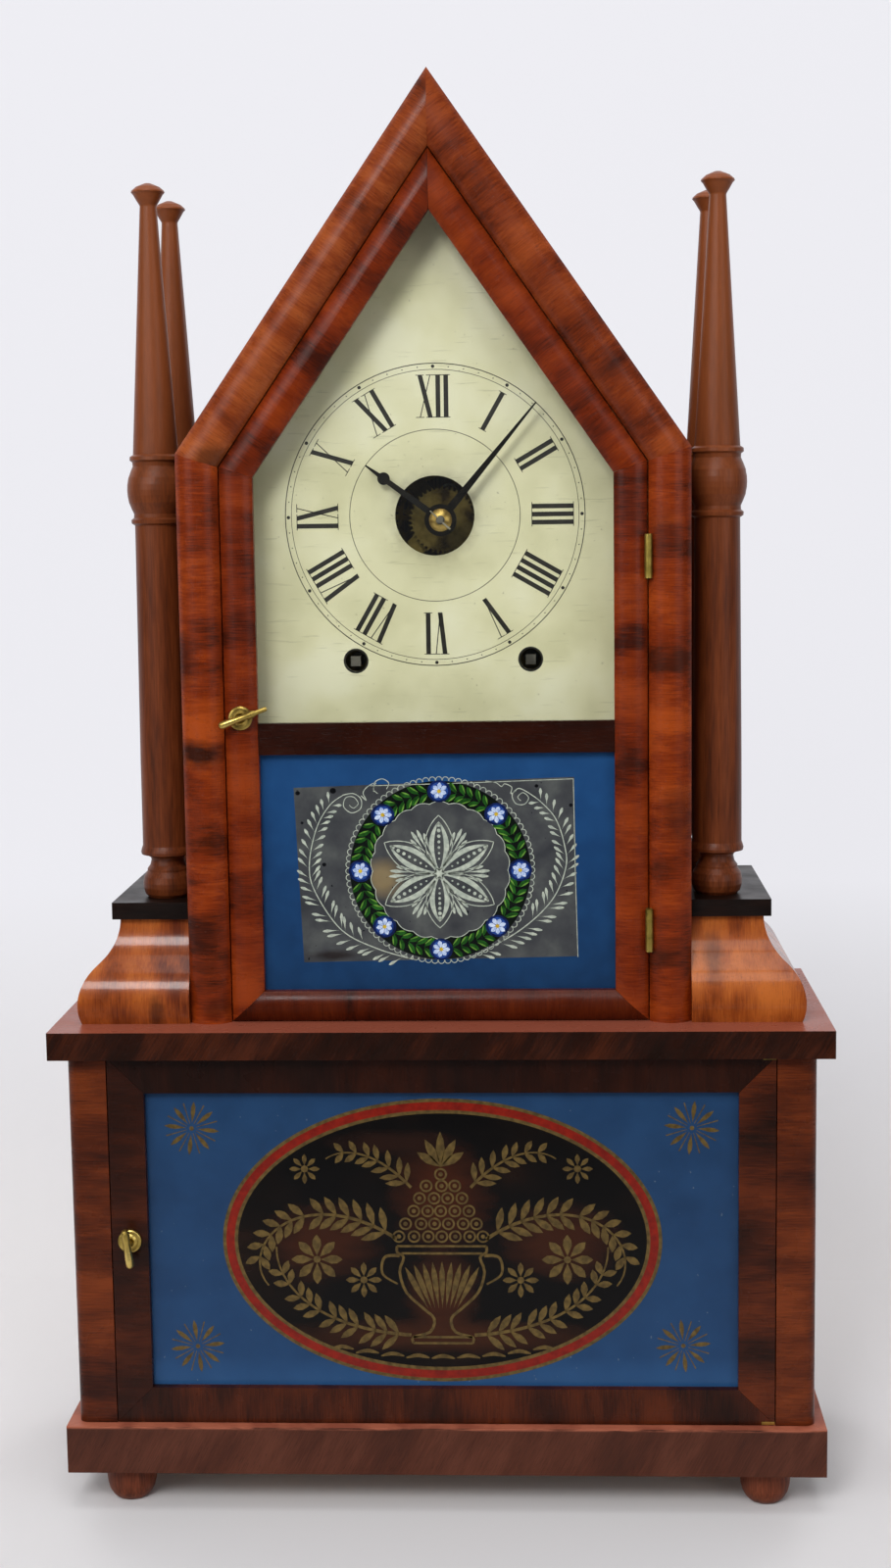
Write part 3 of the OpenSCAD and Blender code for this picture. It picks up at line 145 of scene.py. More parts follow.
def turned_wood(name, dark, body, light, rough=0.38, top=None, rise=(0, 1)):
    """Wood turned on a lathe: upright grain and faint tool rings, paler over the rise towards its top."""
    material, tree, shader, place = finish(name, rough, shine=0.17)
    grain = mottle(tree, place, (0.8, 0.8, 13), 3)
    bands = mottle(tree, place, (6, 6, 70), 2, shift=(3, 1, 0))
    rings = mottle(tree, place, (60, 60, 0.7), 1)
    figure = reckon(tree, "MULTIPLY_ADD", grain, 0.45, times(tree, bands, 0.55))
    colour = tones(tree, figure, (0.36, dark), (0.49, body), (0.65, light))
    if top is not None:
        share = add(tree, "MapRange", {0: axes_of(tree, place)[2], 1: rise[0] * MM, 2: rise[1] * MM})
        colour = lay(tree, times(tree, share, 0.6), colour, hue(top))
    tint(tree, shader, colour)
    relief(tree, shader, reckon(tree, "MULTIPLY_ADD", rings, 0.5, grain), 0.10, 0.4)
    return material


def piece(name, bm, material, body, smooth=False):
    """Finishes a mesh as a piece of the clock that rides a body."""
    bmesh.ops.recalc_face_normals(bm, faces=bm.faces)
    mesh = bpy.data.meshes.new(name)
    bm.to_mesh(mesh)
    bm.free()
    if smooth:
        mesh.shade_smooth()
        mesh.set_sharp_from_angle(angle=math.radians(35))
    mesh.materials.append(material)
    made = bpy.data.objects.new(name, mesh)
    bpy.context.scene.collection.objects.link(made)
    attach(made, body)
    return made


def spun(bm, points, axis, steps, centre=(0, 0, 0), closed=False):
    """Turns a run of points round an axis into one skin."""
    rim = [bm.verts.new(p) for p in points]
    edges = [bm.edges.new(pair) for pair in zip(rim, rim[1:] + (rim[:1] if closed else []))]
    bmesh.ops.spin(bm, geom=rim + edges, cent=centre, axis=axis, angle=math.tau, steps=steps,
                   use_merge=True)
    bmesh.ops.remove_doubles(bm, verts=bm.verts, dist=1e-7)


foot_low, foot_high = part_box("feet")
foot_half = 12.0
foot_outline = ((0, 0), (6.4, 0), (7.8, 0.5), (9.5, 2.2), (10.9, 4.8), (11.7, 8.0), (12.0, 11.2),
                (11.8, 14.0), (11.3, 16.6), (10.6, 18.2), (10.2, 19.0), (0, 19.0))
buns = bmesh.new()
for x in (foot_low[0] + foot_half * MM, foot_high[0] - foot_half * MM):
    for y in (foot_low[1] + foot_half * MM, foot_high[1] - foot_half * MM):
        spun(buns, [(x + r * MM, y, z * MM) for r, z in foot_outline], (0, 0, 1), 40, (x, y, 0))
feet = piece("turned_feet", buns, turned_wood("foot_cherry", "4a2214", "66311c", "7c4028", rough=0.45),
             "case", smooth=True)
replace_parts(feet, "feet")

# ---------------------------------------------------------------------------------------------
# Plinth: a base board with veneered facings mitred round its front and sides.
# The facings are mahogany with the polish worn dull, and their top edges are rubbed lighter.
# The base board, the backs and the inside blocks are pine.


def cloud_at(tree, place, x, z, wide, tall, ragged=0.5):
    """A soft patch seen from the front, 1 in its middle and 0 outside, placed and sized in millimetres."""
    moved = add(tree, "Mapping", {"Vector": place, "Location": (-x / wide, 0, -z / tall),
                                  "Scale": (1 / (wide * MM), 0, 1 / (tall * MM))})
    far = times(tree, add(tree, "VectorMath", {0: moved}, 1, operation="LENGTH"), 0.5)
    edge = reckon(tree, "MULTIPLY_ADD", mottle(tree, place, (10, 10, 4), 3), ragged, -ragged / 2)
    return tones(tree, reckon(tree, "ADD", far, edge), (0.2, 1.0), (0.6, 0.0))


def veneer(name, lean, dark, body, light, rough=0.27, coat=0.0, cloud=34, ripple=0.42, shift=0.0,
           shade=None, top_wood_and_painted_light=0.0, patches=(), worn_edge=None):
    """Mahogany veneer with its grain at lean, in radians up from level, and soft dark clouds.

    The lean can be a function that gives both the lean and the share of the shade at each place.
    Level tops are lifted to a warm red, partly their own wood, partly painted light and sheen from
    above. Patches are dark, as (x, z, wide, tall, depth).
    """
    material, tree, shader, place = finish(name, rough, coat=coat, shine=0.15)
    share = 0.0
    if callable(lean):
        lean, share = lean(tree, place)
    along = add(tree, "VectorRotate", {"Vector": place, "Angle": lean}, rotation_type="Y_AXIS")
    moved = (shift * 3.1, shift, shift * 1.7)
    fibre = mottle(tree, along, (10, 3, 0.55), 2, shift=moved)
    waves = mottle(tree, along, (30, 12, 5.5), 2, shift=moved)
    clouds = mottle(tree, along, (cloud * 1.5, cloud, cloud * 0.8), 2.5, 0.5, shift=moved)
    streaks = reckon(tree, "MULTIPLY_ADD", waves, 0.45, times(tree, fibre, 0.55))
    figure = reckon(tree, "MULTIPLY_ADD", streaks, ripple, times(tree, clouds, 1 - ripple))
    colour = tones(tree, figure, (0.37, dark), (0.485, body), (0.62, light))
    pores = tones(tree, mottle(tree, along, (4.5, 1.2, 0.32), 1, shift=moved), (0.30, 1.0), (0.36, 0.0))
    colour = lay(tree, times(tree, pores, 0.35), colour, hue("1c0b06"))
    for x, z, wide, tall, depth in patches:
        patch = times(tree, cloud_at(tree, place, x, z, wide, tall), depth)
        colour = lay(tree, patch, colour, hue("140806"))
    if shade is not None:
        colour = lay(tree, share, colour, hue(shade))
    # Painted light: faces turned upwards are lifted to a warm red, partly as light and sheen from above,
    # partly as their own warmer wood.
    if top_wood_and_painted_light:
        facing_up = axes_of(tree, add(tree, "NewGeometry", {}, 1))[2]
        top = tones(tree, facing_up, (0.55, 0.0), (0.9, 1.0))
        colour = lay(tree, times(tree, top, top_wood_and_painted_light), colour, hue("9c5440"))
    if worn_edge is not None:
        up = axes_of(tree, place)[2]
        near = add(tree, "MapRange", {0: up, 1: worn_edge - 1.4 * MM, 2: worn_edge - 0.3 * MM})
        broken = tones(tree, mottle(tree, place, (14, 14, 2), 3), (0.4, 0.0), (0.6, 0.8))
        colour = lay(tree, times(tree, near, broken), colour, hue("b0654c"))
    tint(tree, shader, colour)
    worn = tones(tree, mottle(tree, place, 18, 3), (0.35, rough * 0.85), (0.7, rough * 1.3))
    tree.links.new(worn, shader.inputs["Roughness"])
    relief(tree, shader, reckon(tree, "SUBTRACT", fibre, times(tree, pores, 0.5)), 0.08, 0.5)
    return material


plinth_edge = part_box("plinth_facing")[1][2]
# The level tops of the facings are lifted to a warm red, partly their own wood, partly painted light from
# above.
dress(veneer("plinth_mahogany", math.radians(62), "381d14", "472418", "583022", rough=0.42,
             cloud=40, ripple=0.4, shift=0.3, top_wood_and_painted_light=0.8, worn_edge=plinth_edge), "plinth_facing")


def pine(name, dark, body, light, upright=True):
    """Old pine, planed by hand and left bare."""
    material, tree, shader, place = finish(name, 0.75, shine=0.3)
    size = (2.2, 2.2, 70) if upright else (70, 2.2, 2.2)
    grain = mottle(tree, place, size, 3)
    stain = mottle(tree, place, 60, 3)
    colour = tones(tree, grain, (0.35, dark), (0.5, body), (0.66, light))
    colour = lay(tree, tones(tree, stain, (0.45, 0.0), (0.75, 0.55)), colour, hue(dark))
    tint(tree, shader, colour)
    relief(tree, shader, grain, 0.2, 0.5)
    return material


pine_upright = pine("pine_upright", "5a3d22", "8a6238", "a87f4e")
pine_level = pine("pine_level", "5a3d22", "8a6238", "a87f4e", upright=False)
dress(pine_level, "base_board")

# ---------------------------------------------------------------------------------------------
# Lower case: two sides, a pine back, and two narrow front stiles with rounded edges.
# The stiles are veneered with the grain laid across them, so they show short level streaks.
dress(veneer("lower_stile_mahogany", 0.0, "2c1007", "4f1f0a", "6e3011", shift=0.1),
      "lower_stile_left", "lower_stile_right")
dress(veneer("case_side_mahogany", math.pi / 2, "44190b", "5c2610", "703417", ripple=0.6, shift=0.7),
      "lower_side_left", "lower_side_right", "upper_side_left", "upper_side_right")
dress(pine_upright, "lower_back_board", "upper_back_board")

# ---------------------------------------------------------------------------------------------
# Cornice: the board between the two cases. Its front edge is faced with dark veneer laid aslant,
# and its top is plain mahogany, lifted to a warm red partly by its own wood and partly by painted
# light and sheen from above.
dress(veneer("cornice_mahogany", math.radians(58), "170904", "240d05", "421c0c", shift=0.9, top_wood_and_painted_light=0.85),
      "cornice")

# ---------------------------------------------------------------------------------------------
# Ogee pedestals: pine blocks with a swelling front, covered by golden crotch veneer laid upright.
# They carry the dark square blocks that the columns stand on, and have the glossiest polish.
dress(veneer("ogee_veneer", math.pi / 2, "5c240b", "8e4418", "b26026", rough=0.28, coat=0.3, cloud=24,
             ripple=0.35, shift=1.3, patches=((-133, 239, 4, 9, 0.6), (128, 262, 5, 12, 0.5))),
      "ogee_left", "ogee_right")
dress(veneer("block_wood", 0.0, "0a0504", "130a07", "1e100b", rough=0.36, shift=0.4),
      "column_block_left", "column_block_right")

# ---------------------------------------------------------------------------------------------
# Columns: four turned mahogany columns with a bulb at mid height, a tall spire and a flared cap.
# Each is one piece from the lathe, stained and rubbed to a satin polish.
dress(turned_wood("column_mahogany", "452010", "5c2b13", "70381b", top="8c4c28", rise=(430, 560)),
      "columns_left", "columns_right")

# ---------------------------------------------------------------------------------------------
# Upper case: pointed, with a front of half-round moulding mitred at the eaves and the apex.
# The veneer on every moulding runs across it, square to its length, in ripples and dark clouds.
roof_lean = math.radians(34.9)
dress(veneer("front_stile_mahogany", 0.0, "401606", "73280a", "9a4114", shift=2.2,
             patches=((-110, 361, 14, 6.5, 0.9), (-117, 405, 8, 14, 0.6), (-113, 277, 12, 9, 0.5),
                      (-104, 241, 9, 5, 0.55), (112, 330, 11, 16, 0.45), (106, 460, 8, 10, 0.4))),
      "frame_stile_left", "frame_stile_right")
dress(veneer("left_rake_mahogany", -roof_lean, "4a1e0e", "7a3415", "9c5026", shift=3.4,
             patches=((-100, 496, 10, 7, 0.6),)), "frame_rake_left")
dress(veneer("right_rake_mahogany", roof_lean, "3c1509", "6e2b10", "90421c", shift=4.7), "frame_rake_right")
dress(veneer("roof_mahogany", math.pi / 2, "32130a", "4c1f0c", "653016", ripple=0.55, shift=0.2),
      "roof_left", "roof_right")
dress(pine_level, "dial_cleats")
dress(pine("movement_block_pine", "3a2412", "5d3f22", "7b5832"), "movement_blocks")

# ---------------------------------------------------------------------------------------------
# Dial: a wooden board or zinc plate painted cream, with everything on it drawn in black by hand.
# The paint has crazed finely, and it is soiled round the centre opening and the winding holes.
dial_middle = (0.0, 469.0)
dial_face = (dial_middle, -24.0 * MM, "case", "dial_paint")
time_hole, strike_hole = (-38.02, 401.73), (43.98, 401.73)


def far_from(tree, axes, middle):
    """How far each place lies from a middle (x, z) in millimetres, seen from the front."""
    dx = reckon(tree, "SUBTRACT", axes[0], middle[0] * MM)
    dz = reckon(tree, "SUBTRACT", axes[2], middle[1] * MM)
    return reckon(tree, "SQRT", reckon(tree, "MULTIPLY_ADD", dx, dx, times(tree, dz, dz)))


material, tree, shader, place = finish("dial_cream", 0.42)
reach = far_from(tree, axes_of(tree, place), dial_middle)
cream = tones(tree, mottle(tree, place, 34, 3), (0.35, "d6d1ab"), (0.5, "e2ddb9"), (0.68, "ebe7ca"))
soil = tones(tree, reach, (0.0185, 0.65), (0.024, 0.12), (0.034, 0.0))
soil = times(tree, soil, mottle(tree, place, 5, 3))
cream = lay(tree, soil, cream, hue("4c3d22"))
specks = tones(tree, mottle(tree, place, 1.6, 1), (0.24, 1.0), (0.27, 0.0))
cream = lay(tree, times(tree, specks, 0.4), cream, hue("6a5c3c"))
crackle = tones(tree, mottle(tree, place, (16, 16, 1.1), 2), (0.29, 1.0), (0.325, 0.0))
cream = lay(tree, times(tree, crackle, 0.22), cream, hue("8d8863"))
tint(tree, shader, cream)
cracks = add(tree, "TexVoronoi", {"Vector": place, "Scale": 260.0}, feature="DISTANCE_TO_EDGE")
cracks = tones(tree, cracks, (0.0, 0.0), (0.06, 1.0))
relief(tree, shader, reckon(tree, "MULTIPLY_ADD", cracks, 0.3, mottle(tree, place, 2.0, 2)), 0.06, 0.4)
dress(material, "dial_plate")


def put(bm, verts, at, *turns):
    """Turns points by pairs of degrees and axis, the last pair first, and moves them to a point."""
    matrix = Matrix.Translation(at)
    for degrees, axis in turns:
        matrix = matrix @ Matrix.Rotation(math.radians(degrees), 4, axis)
    bmesh.ops.transform(bm, verts=verts, matrix=matrix)


def brushed_on(name, bm, face, lift, material):
    """Makes flat brushwork a thin film of paint that starts that many millimetres in front of a face."""
    (x, z), front, body, slot = face
    film = 0.04
    bmesh.ops.recalc_face_normals(bm, faces=bm.faces)
    bmesh.ops.solidify(bm, geom=bm.faces[:], thickness=film * MM)
    lowest = min(v.co.z for v in bm.verts)
    bmesh.ops.translate(bm, verts=bm.verts, vec=(0, 0, lift * MM - lowest))
    put(bm, bm.verts, (x * MM, front, z * MM), (90, "X"))
    piece(name, bm, material, body)


def ring(bm, across, up, wide, steps=96, at=(0, 0), scallops=0, swell=0.0):
    """A painted line round an oval. Scallops bulge its inner edge, or both edges of a thin line."""
    edges = []
    for grow in (-wide / 2, wide / 2):
        made = bmesh.ops.create_circle(bm, segments=steps, radius=1.0)
        if scallops and (grow < 0 or wide < 1):
            for v in made["verts"]:
                v.co *= 1 + swell * abs(math.sin(math.atan2(v.co.y, v.co.x) * scallops / 2))
        bmesh.ops.scale(bm, verts=made["verts"], vec=((across + grow) * MM, (up + grow) * MM, 1))
        bmesh.ops.translate(bm, verts=made["verts"], vec=(at[0] * MM, at[1] * MM, 0))
        edges += {e for v in made["verts"] for e in v.link_edges}
    bmesh.ops.bridge_loops(bm, edges=edges)


def spot(bm, at, radius, steps=10, up=None):
    """A round or oval dab of paint."""
    made = bmesh.ops.create_circle(bm, cap_ends=True, segments=steps, radius=1.0)
    bmesh.ops.scale(bm, verts=made["verts"], vec=(radius * MM, (up or radius) * MM, 1))
    bmesh.ops.translate(bm, verts=made["verts"], vec=(at[0] * MM, at[1] * MM, 0))


def stroke(bm, foot, head, wide):
    """A straight pen stroke with level ends from foot to head."""
    half = wide * MM / 2
    (fx, fy), (hx, hy) = [(p[0] * MM, p[1] * MM) for p in (foot, head)]
    bm.faces.new([bm.verts.new(p) for p in
                  ((fx - half, fy, 0), (fx + half, fy, 0), (hx + half, hy, 0), (hx - half, hy, 0))])


numeral_foot, numeral_tall, thick_pen, thin_pen, serif_wide, serif_tall = 45.0, 19.6, 2.15, 0.45, 3.9, 0.35
serif_reach, hairline = 1.9, 0.01
glyph_wide = {"I": 3.7, "V": 7.6, "X": 8.2}


def numeral(bm, text, turn):
    """Roman strokes with hairline serifs, standing on their feet towards the centre."""
    start = len(bm.verts)
    at = -sum(glyph_wide[c] for c in text) / 2
    low, high = numeral_foot, numeral_foot + numeral_tall
    for c in text:
        wide = glyph_wide[c]
        left, middle, right = at + 1.7, at + wide / 2, at + wide - 1.7
        if c == "I":
            stroke(bm, (middle, low), (middle, high), thick_pen)
            feet, heads = [middle], [middle]
        elif c == "V":
            stroke(bm, (middle, low), (left, high), thick_pen)
            stroke(bm, (middle, low), (right, high), thin_pen)
            feet, heads = [], [left, right]
        else:
            stroke(bm, (right, low), (left, high), thick_pen)
            stroke(bm, (left, low), (right, high), thin_pen)
            feet, heads = [left, right], [left, right]
        for x in feet:
            stroke(bm, (x - serif_reach, low), (x - serif_reach, low + serif_tall), hairline)
            stroke(bm, (x, low), (x, low + serif_tall), serif_wide)
        for x in heads:
            stroke(bm, (x, high - serif_tall), (x, high), serif_wide)
        at += wide
    bm.verts.ensure_lookup_table()
    bmesh.ops.rotate(bm, verts=bm.verts[start:], cent=(0, 0, 0), matrix=Matrix.Rotation(-turn, 3, "Z"))


ink, tree, shader, place = finish("dial_ink", 0.4)
tint(tree, shader, tones(tree, mottle(tree, place, 3, 2), (0.3, "0f0d0a"), (0.75, "2a251d")))
track = bmesh.new()
for radius, wide in ((69.8, 0.42), (67.0, 0.26), (39.7, 0.3)):
    ring(track, radius, radius, wide)
dot_ring = 68.4
for minute in range(60):
    a = math.radians(minute * 6)
    spot(track, (dot_ring * math.sin(a), dot_ring * math.cos(a)), 0.85 if minute % 5 == 0 else 0.3, 8)
brushed_on("dial_circles", track, dial_face, -0.02, ink)
numerals = bmesh.new()
for hour, text in enumerate(("XII", "I", "II", "III", "IIII", "V", "VI", "VII", "VIII", "IX", "X", "XI")):
    numeral(numerals, text, math.radians(hour * 30))
brushed_on("dial_numerals", numerals, dial_face, -0.02, ink)
hole_rims = bmesh.new()
for x, z in (time_hole, strike_hole):
    ring(hole_rims, 5.4, 5.4, 0.9, 40, (x, z - dial_middle[1]))
brushed_on("winding_hole_rims", hole_rims, dial_face, -0.02, ink)

# ---------------------------------------------------------------------------------------------
# Movement: two stamped brass plates on four pillars, held by blocks behind the dial.
# Brass plates and wheels are dull yellow with brown tarnish; arbors and pinions are steel.
centre = (3.0, 466.9)


def clock_brass(name, middle=None, arbor=0.0, light="b3944c", body="957634", dark="5a4420", rough=0.34,
                painted_shade_span=None):
    """Aged brass, turned round its middle where it is a wheel, with steel inside the arbor's radius.

    The brass can be darkened with painted shade from one height to another, as in the shadow behind the
    dial.
    """
    material, tree, shader, place = finish(name, rough, metal=1.0)
    tarnish = mottle(tree, place, 9, 4)
    colour = tones(tree, tarnish, (0.32, dark), (0.47, body), (0.66, light))
    wear = mottle(tree, place, 0.6, 2)
    if middle:
        axes = axes_of(tree, place)
        far = far_from(tree, axes, middle)
        wear = mottle(tree, add(tree, "CombineXYZ", {0: far, 1: axes[1]}), 0.35, 1)
        colour = lay(tree, reckon(tree, "LESS_THAN", far, arbor * MM), colour, hue("77736b"))
    if painted_shade_span:
        # Painted shade: the brass darkens upwards between the two heights, as where the dial's edge shades
        # it.
        painted_shade_share = add(tree, "MapRange", {0: axes_of(tree, place)[2], 1: painted_shade_span[0] * MM, 2: painted_shade_span[1] * MM})
        colour = lay(tree, times(tree, painted_shade_share, 0.85), colour, hue("2c1e10"))
    tint(tree, shader, colour)
    tree.links.new(tones(tree, tarnish, (0.35, rough + 0.22), (0.65, rough)), shader.inputs["Roughness"])
    relief(tree, shader, wear, 0.03, 0.5)
    return material


# The plates get painted shade high in the dial's opening, where the dial above shades them.
dress(clock_brass("plate_brass", light="8a7840", body="6e5f30", dark="3f321a", rough=0.42,
                  painted_shade_span=(462, 474)), "plate_front", "plate_back")
dull = ("7a6a3c", "5c4e28", "2a2012")
for part, middle, arbor, *brass_tones in (
        ("hour_wheel", centre, 2.4, *dull), ("motion_wheel", (22.2, 466.9), 1.6, *dull),
        ("centre_arbor", centre, 2.6), ("time_barrel", time_hole, 3.4), ("strike_barrel", strike_hole, 3.4),
        ("time_second", (-26.84, 438.78), 2.2), ("strike_second", (39.31, 440.15), 2.2),
        ("fourth_wheel", (-12.28, 487.93), 1.8), ("strike_third", (44.03, 466.93), 1.8),
        ("escape_wheel", (-26.16, 507.76), 1.8), ("fly", (41.03, 485.90), 1.4)):
    dress(clock_brass(part + "_brass", middle, arbor, *brass_tones), part)


def steel(name, dark, body, light, rough=0.35, metal=1.0):
    """Filed steel or iron with a little brown on it."""
    material, tree, shader, place = finish(name, rough, metal=metal)
    rust = mottle(tree, place, 6, 4)
    tint(tree, shader, tones(tree, rust, (0.35, dark), (0.5, body), (0.68, light)))
    tree.links.new(tones(tree, rust, (0.35, rough + 0.2), (0.65, rough)), shader.inputs["Roughness"])
    relief(tree, shader, mottle(tree, place, (0.5, 0.5, 6), 2), 0.04, 0.5)
    return material


dress(steel("spring_steel", "2a2521", "4a4641", "6a655d", 0.4), "leaf_spring")
dress(steel("saddle_iron", "171412", "2a2623", "3c3733", 0.6, 0.8), "spring_saddle")
dress(steel("gong_blue", "1c222b", "333c4a", "4c5766", 0.3), "gong")
dress(steel("hammer_steel", "35302b", "5d5850", "7c766b", 0.38), "hammer", "verge")
dress(clock_brass("bob_brass", (0.0, 290), 0.0, "c7a355", "a98338", "6b4f22", 0.28), "pendulum")

# A bent wire of the movement shows pale in the dial's opening: the hook that holds the count lever.
# It is soft iron wire, tinned, bent by hand into an open ring.
hook_at, hook_radius, wire, open_from = (6.0, -7.0, 480.0), 3.6, 0.55, 40
hook = bmesh.new()
bmesh.ops.create_circle(hook, segments=10, radius=wire * MM)
put(hook, hook.verts, (hook_radius * MM, 0, 0), (90, "X"))
bmesh.ops.spin(hook, geom=hook.edges[:], cent=(0, 0, 0), axis=(0, 0, 1), angle=math.radians(265), steps=28)
bmesh.ops.holes_fill(hook, edges=[e for e in hook.edges if e.is_boundary])
put(hook, hook.verts, Vector(hook_at) * MM, (90, "X"), (open_from, "Z"))
piece("count_hook", hook, steel("tinned_wire", "8b8778", "b4b09d", "d0ccb8", 0.3), "case")

# ---------------------------------------------------------------------------------------------
# Hands: cut from sheet steel and blackened; a brass dome and a taper pin hold the minute hand on
# the square end of the centre arbor.
dress(steel("hand_black", "0c0a08", "15120f", "25201a", 0.36, 0.7), "hour_hand")
dome_radius, dome_back = 5.5, -32.02
material, tree, shader, place = finish("minute_hand_black", 0.34, metal=0.8)
axes = axes_of(tree, place)
dome = times(tree, reckon(tree, "LESS_THAN", far_from(tree, axes, centre), dome_radius * MM),
             reckon(tree, "LESS_THAN", axes[1], dome_back * MM))
black = tones(tree, mottle(tree, place, 4, 3), (0.35, "0c0a08"), (0.7, "241f19"))
gold = tones(tree, mottle(tree, place, 3, 3), (0.35, "8e7136"), (0.6, "c4a55c"))
tint(tree, shader, lay(tree, dome, black, gold))
dress(material, "minute_hand")

pin_length, pin_thick, pin_thin, pin_y = 12.6, 0.55, 0.3, -35.6
pin = bmesh.new()
bmesh.ops.create_cone(pin, cap_ends=True, segments=16, radius1=pin_thick * MM, radius2=pin_thin * MM,
                      depth=pin_length * MM)
bmesh.ops.bevel(pin, geom=[e for e in pin.edges if abs(e.verts[0].co.z - e.verts[1].co.z) < 1e-9],
                offset=0.12 * MM, segments=2, profile=0.5, affect="EDGES", material=-1)
put(pin, pin.verts, (centre[0] * MM, pin_y * MM, centre[1] * MM), (-47, "Y"))
piece("hand_taper_pin", pin, steel("pin_steel", "8a8577", "b3ad9c", "cfc9b6", 0.3), "centre")

# ---------------------------------------------------------------------------------------------
# Doors: each is a frame of crown moulding mitred at its corners, veneered across like the case.
# The upper one has a flat dark middle rail between its clear glass and its painted tablet.
# The grain turns at every mitre, so each finish finds its member from where it is.
sight_half, sill, head = 82.4, 248.0, 487.5


def upper_mitres(tree, place):
    """The grain's lean over the upper door, and the shade of its flat rail and its bottom rail."""
    axes = axes_of(tree, place)
    out = reckon(tree, "ABSOLUTE", axes[0])
    steep, slope, rail_middle, rail_half = 0.92, 0.3143, 367.2, 7.6
    rake = reckon(tree, "GREATER_THAN", reckon(tree, "MULTIPLY_ADD", out, -slope, axes[2]),
                  (head - slope * sight_half) * MM)
    rail = reckon(tree, "LESS_THAN", reckon(tree, "MULTIPLY_ADD", out, steep, axes[2]),
                  (sill + steep * sight_half) * MM)
    lean = times(tree, times(tree, rake, reckon(tree, "SIGN", axes[0])), roof_lean)
    flat = times(tree, reckon(tree, "LESS_THAN", out, (sight_half + 0.1) * MM),
                 reckon(tree, "COMPARE", axes[2], rail_middle * MM, rail_half * MM))
    shade = times(tree, reckon(tree, "MULTIPLY_ADD", rail, 0.62, flat), 0.92)
    return reckon(tree, "MULTIPLY_ADD", rail, math.pi / 2, lean), shade


dress(veneer("upper_door_mahogany", upper_mitres, "381207", "692309", "883611", shade="180804", shift=5.5),
      "upper_door_frame")


def window_glass(name, tone):
    """Clear old glass: what is behind shows through a faint sheen."""
    material, tree, shader, place = finish(name)
    tree.nodes.remove(shader)
    clear = add(tree, "BsdfTransparent", {"Color": hue(tone)})
    sheen = add(tree, "BsdfGlossy", {"Roughness": 0.02, "Color": (1, 1, 1, 1)})
    wavy = add(tree, "Bump", {"Height": mottle(tree, place, 40, 1), "Distance": 0.3 * MM, "Strength": 0.3})
    tree.links.new(wavy, sheen.node.inputs["Normal"])
    facing = add(tree, "LayerWeight", {"Blend": 0.5}, 1)
    share = reckon(tree, "MULTIPLY_ADD", reckon(tree, "POWER", facing, 4.0), 0.5, 0.025)
    both = add(tree, "MixShader", {0: share, 1: clear, 2: sheen})
    tree.links.new(both, tree.nodes["Material Output"].inputs["Surface"])
    return material


dress(window_glass("dial_window", "fcfdfb"), "dial_glass")

# ---------------------------------------------------------------------------------------------
# Upper tablet: glass painted on its back in a blue border round a grey misted field.
# On the field are a wreath of leaves and flowers, a lace rosette in it, and a fern on each side.
upper_face = ((0.9, 304.4), -40.4 * MM, "upper_door", "upper_tablet_glass")
material, tree, shader, place = finish("upper_tablet_paint", 0.16, shine=0.3)
axes = axes_of(tree, place)
inside = 1.0
# The top, bottom, left and right edges of the field lean a little, as they were masked by hand.
for side, along, lean, across, edge in (
        ("LESS_THAN", 0, -0.031, 2, 346.0), ("GREATER_THAN", 0, -0.018, 2, 262.2),
        ("GREATER_THAN", 2, 0.039, 0, -53.6), ("LESS_THAN", 2, 0.016, 0, 69.2)):
    reach = reckon(tree, "MULTIPLY_ADD", axes[along], lean, axes[across])
    inside = times(tree, inside, reckon(tree, side, reach, edge * MM))
height = add(tree, "MapRange", {0: axes[2], 1: 248 * MM, 2: 360 * MM})
blue = tones(tree, height, (0.0, "113054"), (0.5, "173b66"), (1.0, "20497a"))
blue = lay(tree, 0.22, blue, tones(tree, mottle(tree, place, 12, 3), (0.3, "0e294a"), (0.7, "22507f")))
mist = tones(tree, mottle(tree, place, 14, 4), (0.3, "34363a"), (0.5, "424446"), (0.72, "555856"))
# A warm patch is painted on the mist where the lit brass bob behind would show through, as painted light.
painted_bob_glimpse = cloud_at(tree, place, -26, 301, 9, 9, 0.15)
mist = lay(tree, times(tree, painted_bob_glimpse, 0.55), mist, hue("9a8355"))
mist = lay(tree, times(tree, cloud_at(tree, place, -50, 264.5, 12, 2.6), 0.8), mist, hue("1c1210"))
flecks = tones(tree, mottle(tree, place, 2.6, 1), (0.215, 1.0), (0.235, 0.0))
mist = lay(tree, flecks, mist, hue("14151a"))
tint(tree, shader, lay(tree, inside, blue, mist))
relief(tree, shader, mottle(tree, place, 3, 2), 0.02, 0.3)
dress(material, "upper_tablet")


def paint(name, dark, light, rough=0.22, metal=0.0, size=3.0):
    """Brushed enamel or gilding, a little uneven."""
    material, tree, shader, place = finish(name, rough, metal=metal, coat=0.08, shine=0.2)
    colour = tones(tree, mottle(tree, place, size, 3), (0.32, dark), (0.68, light))
    tint(tree, shader, colour)
    relief(tree, shader, mottle(tree, place, 0.8, 2), 0.02, 0.4)
    return material


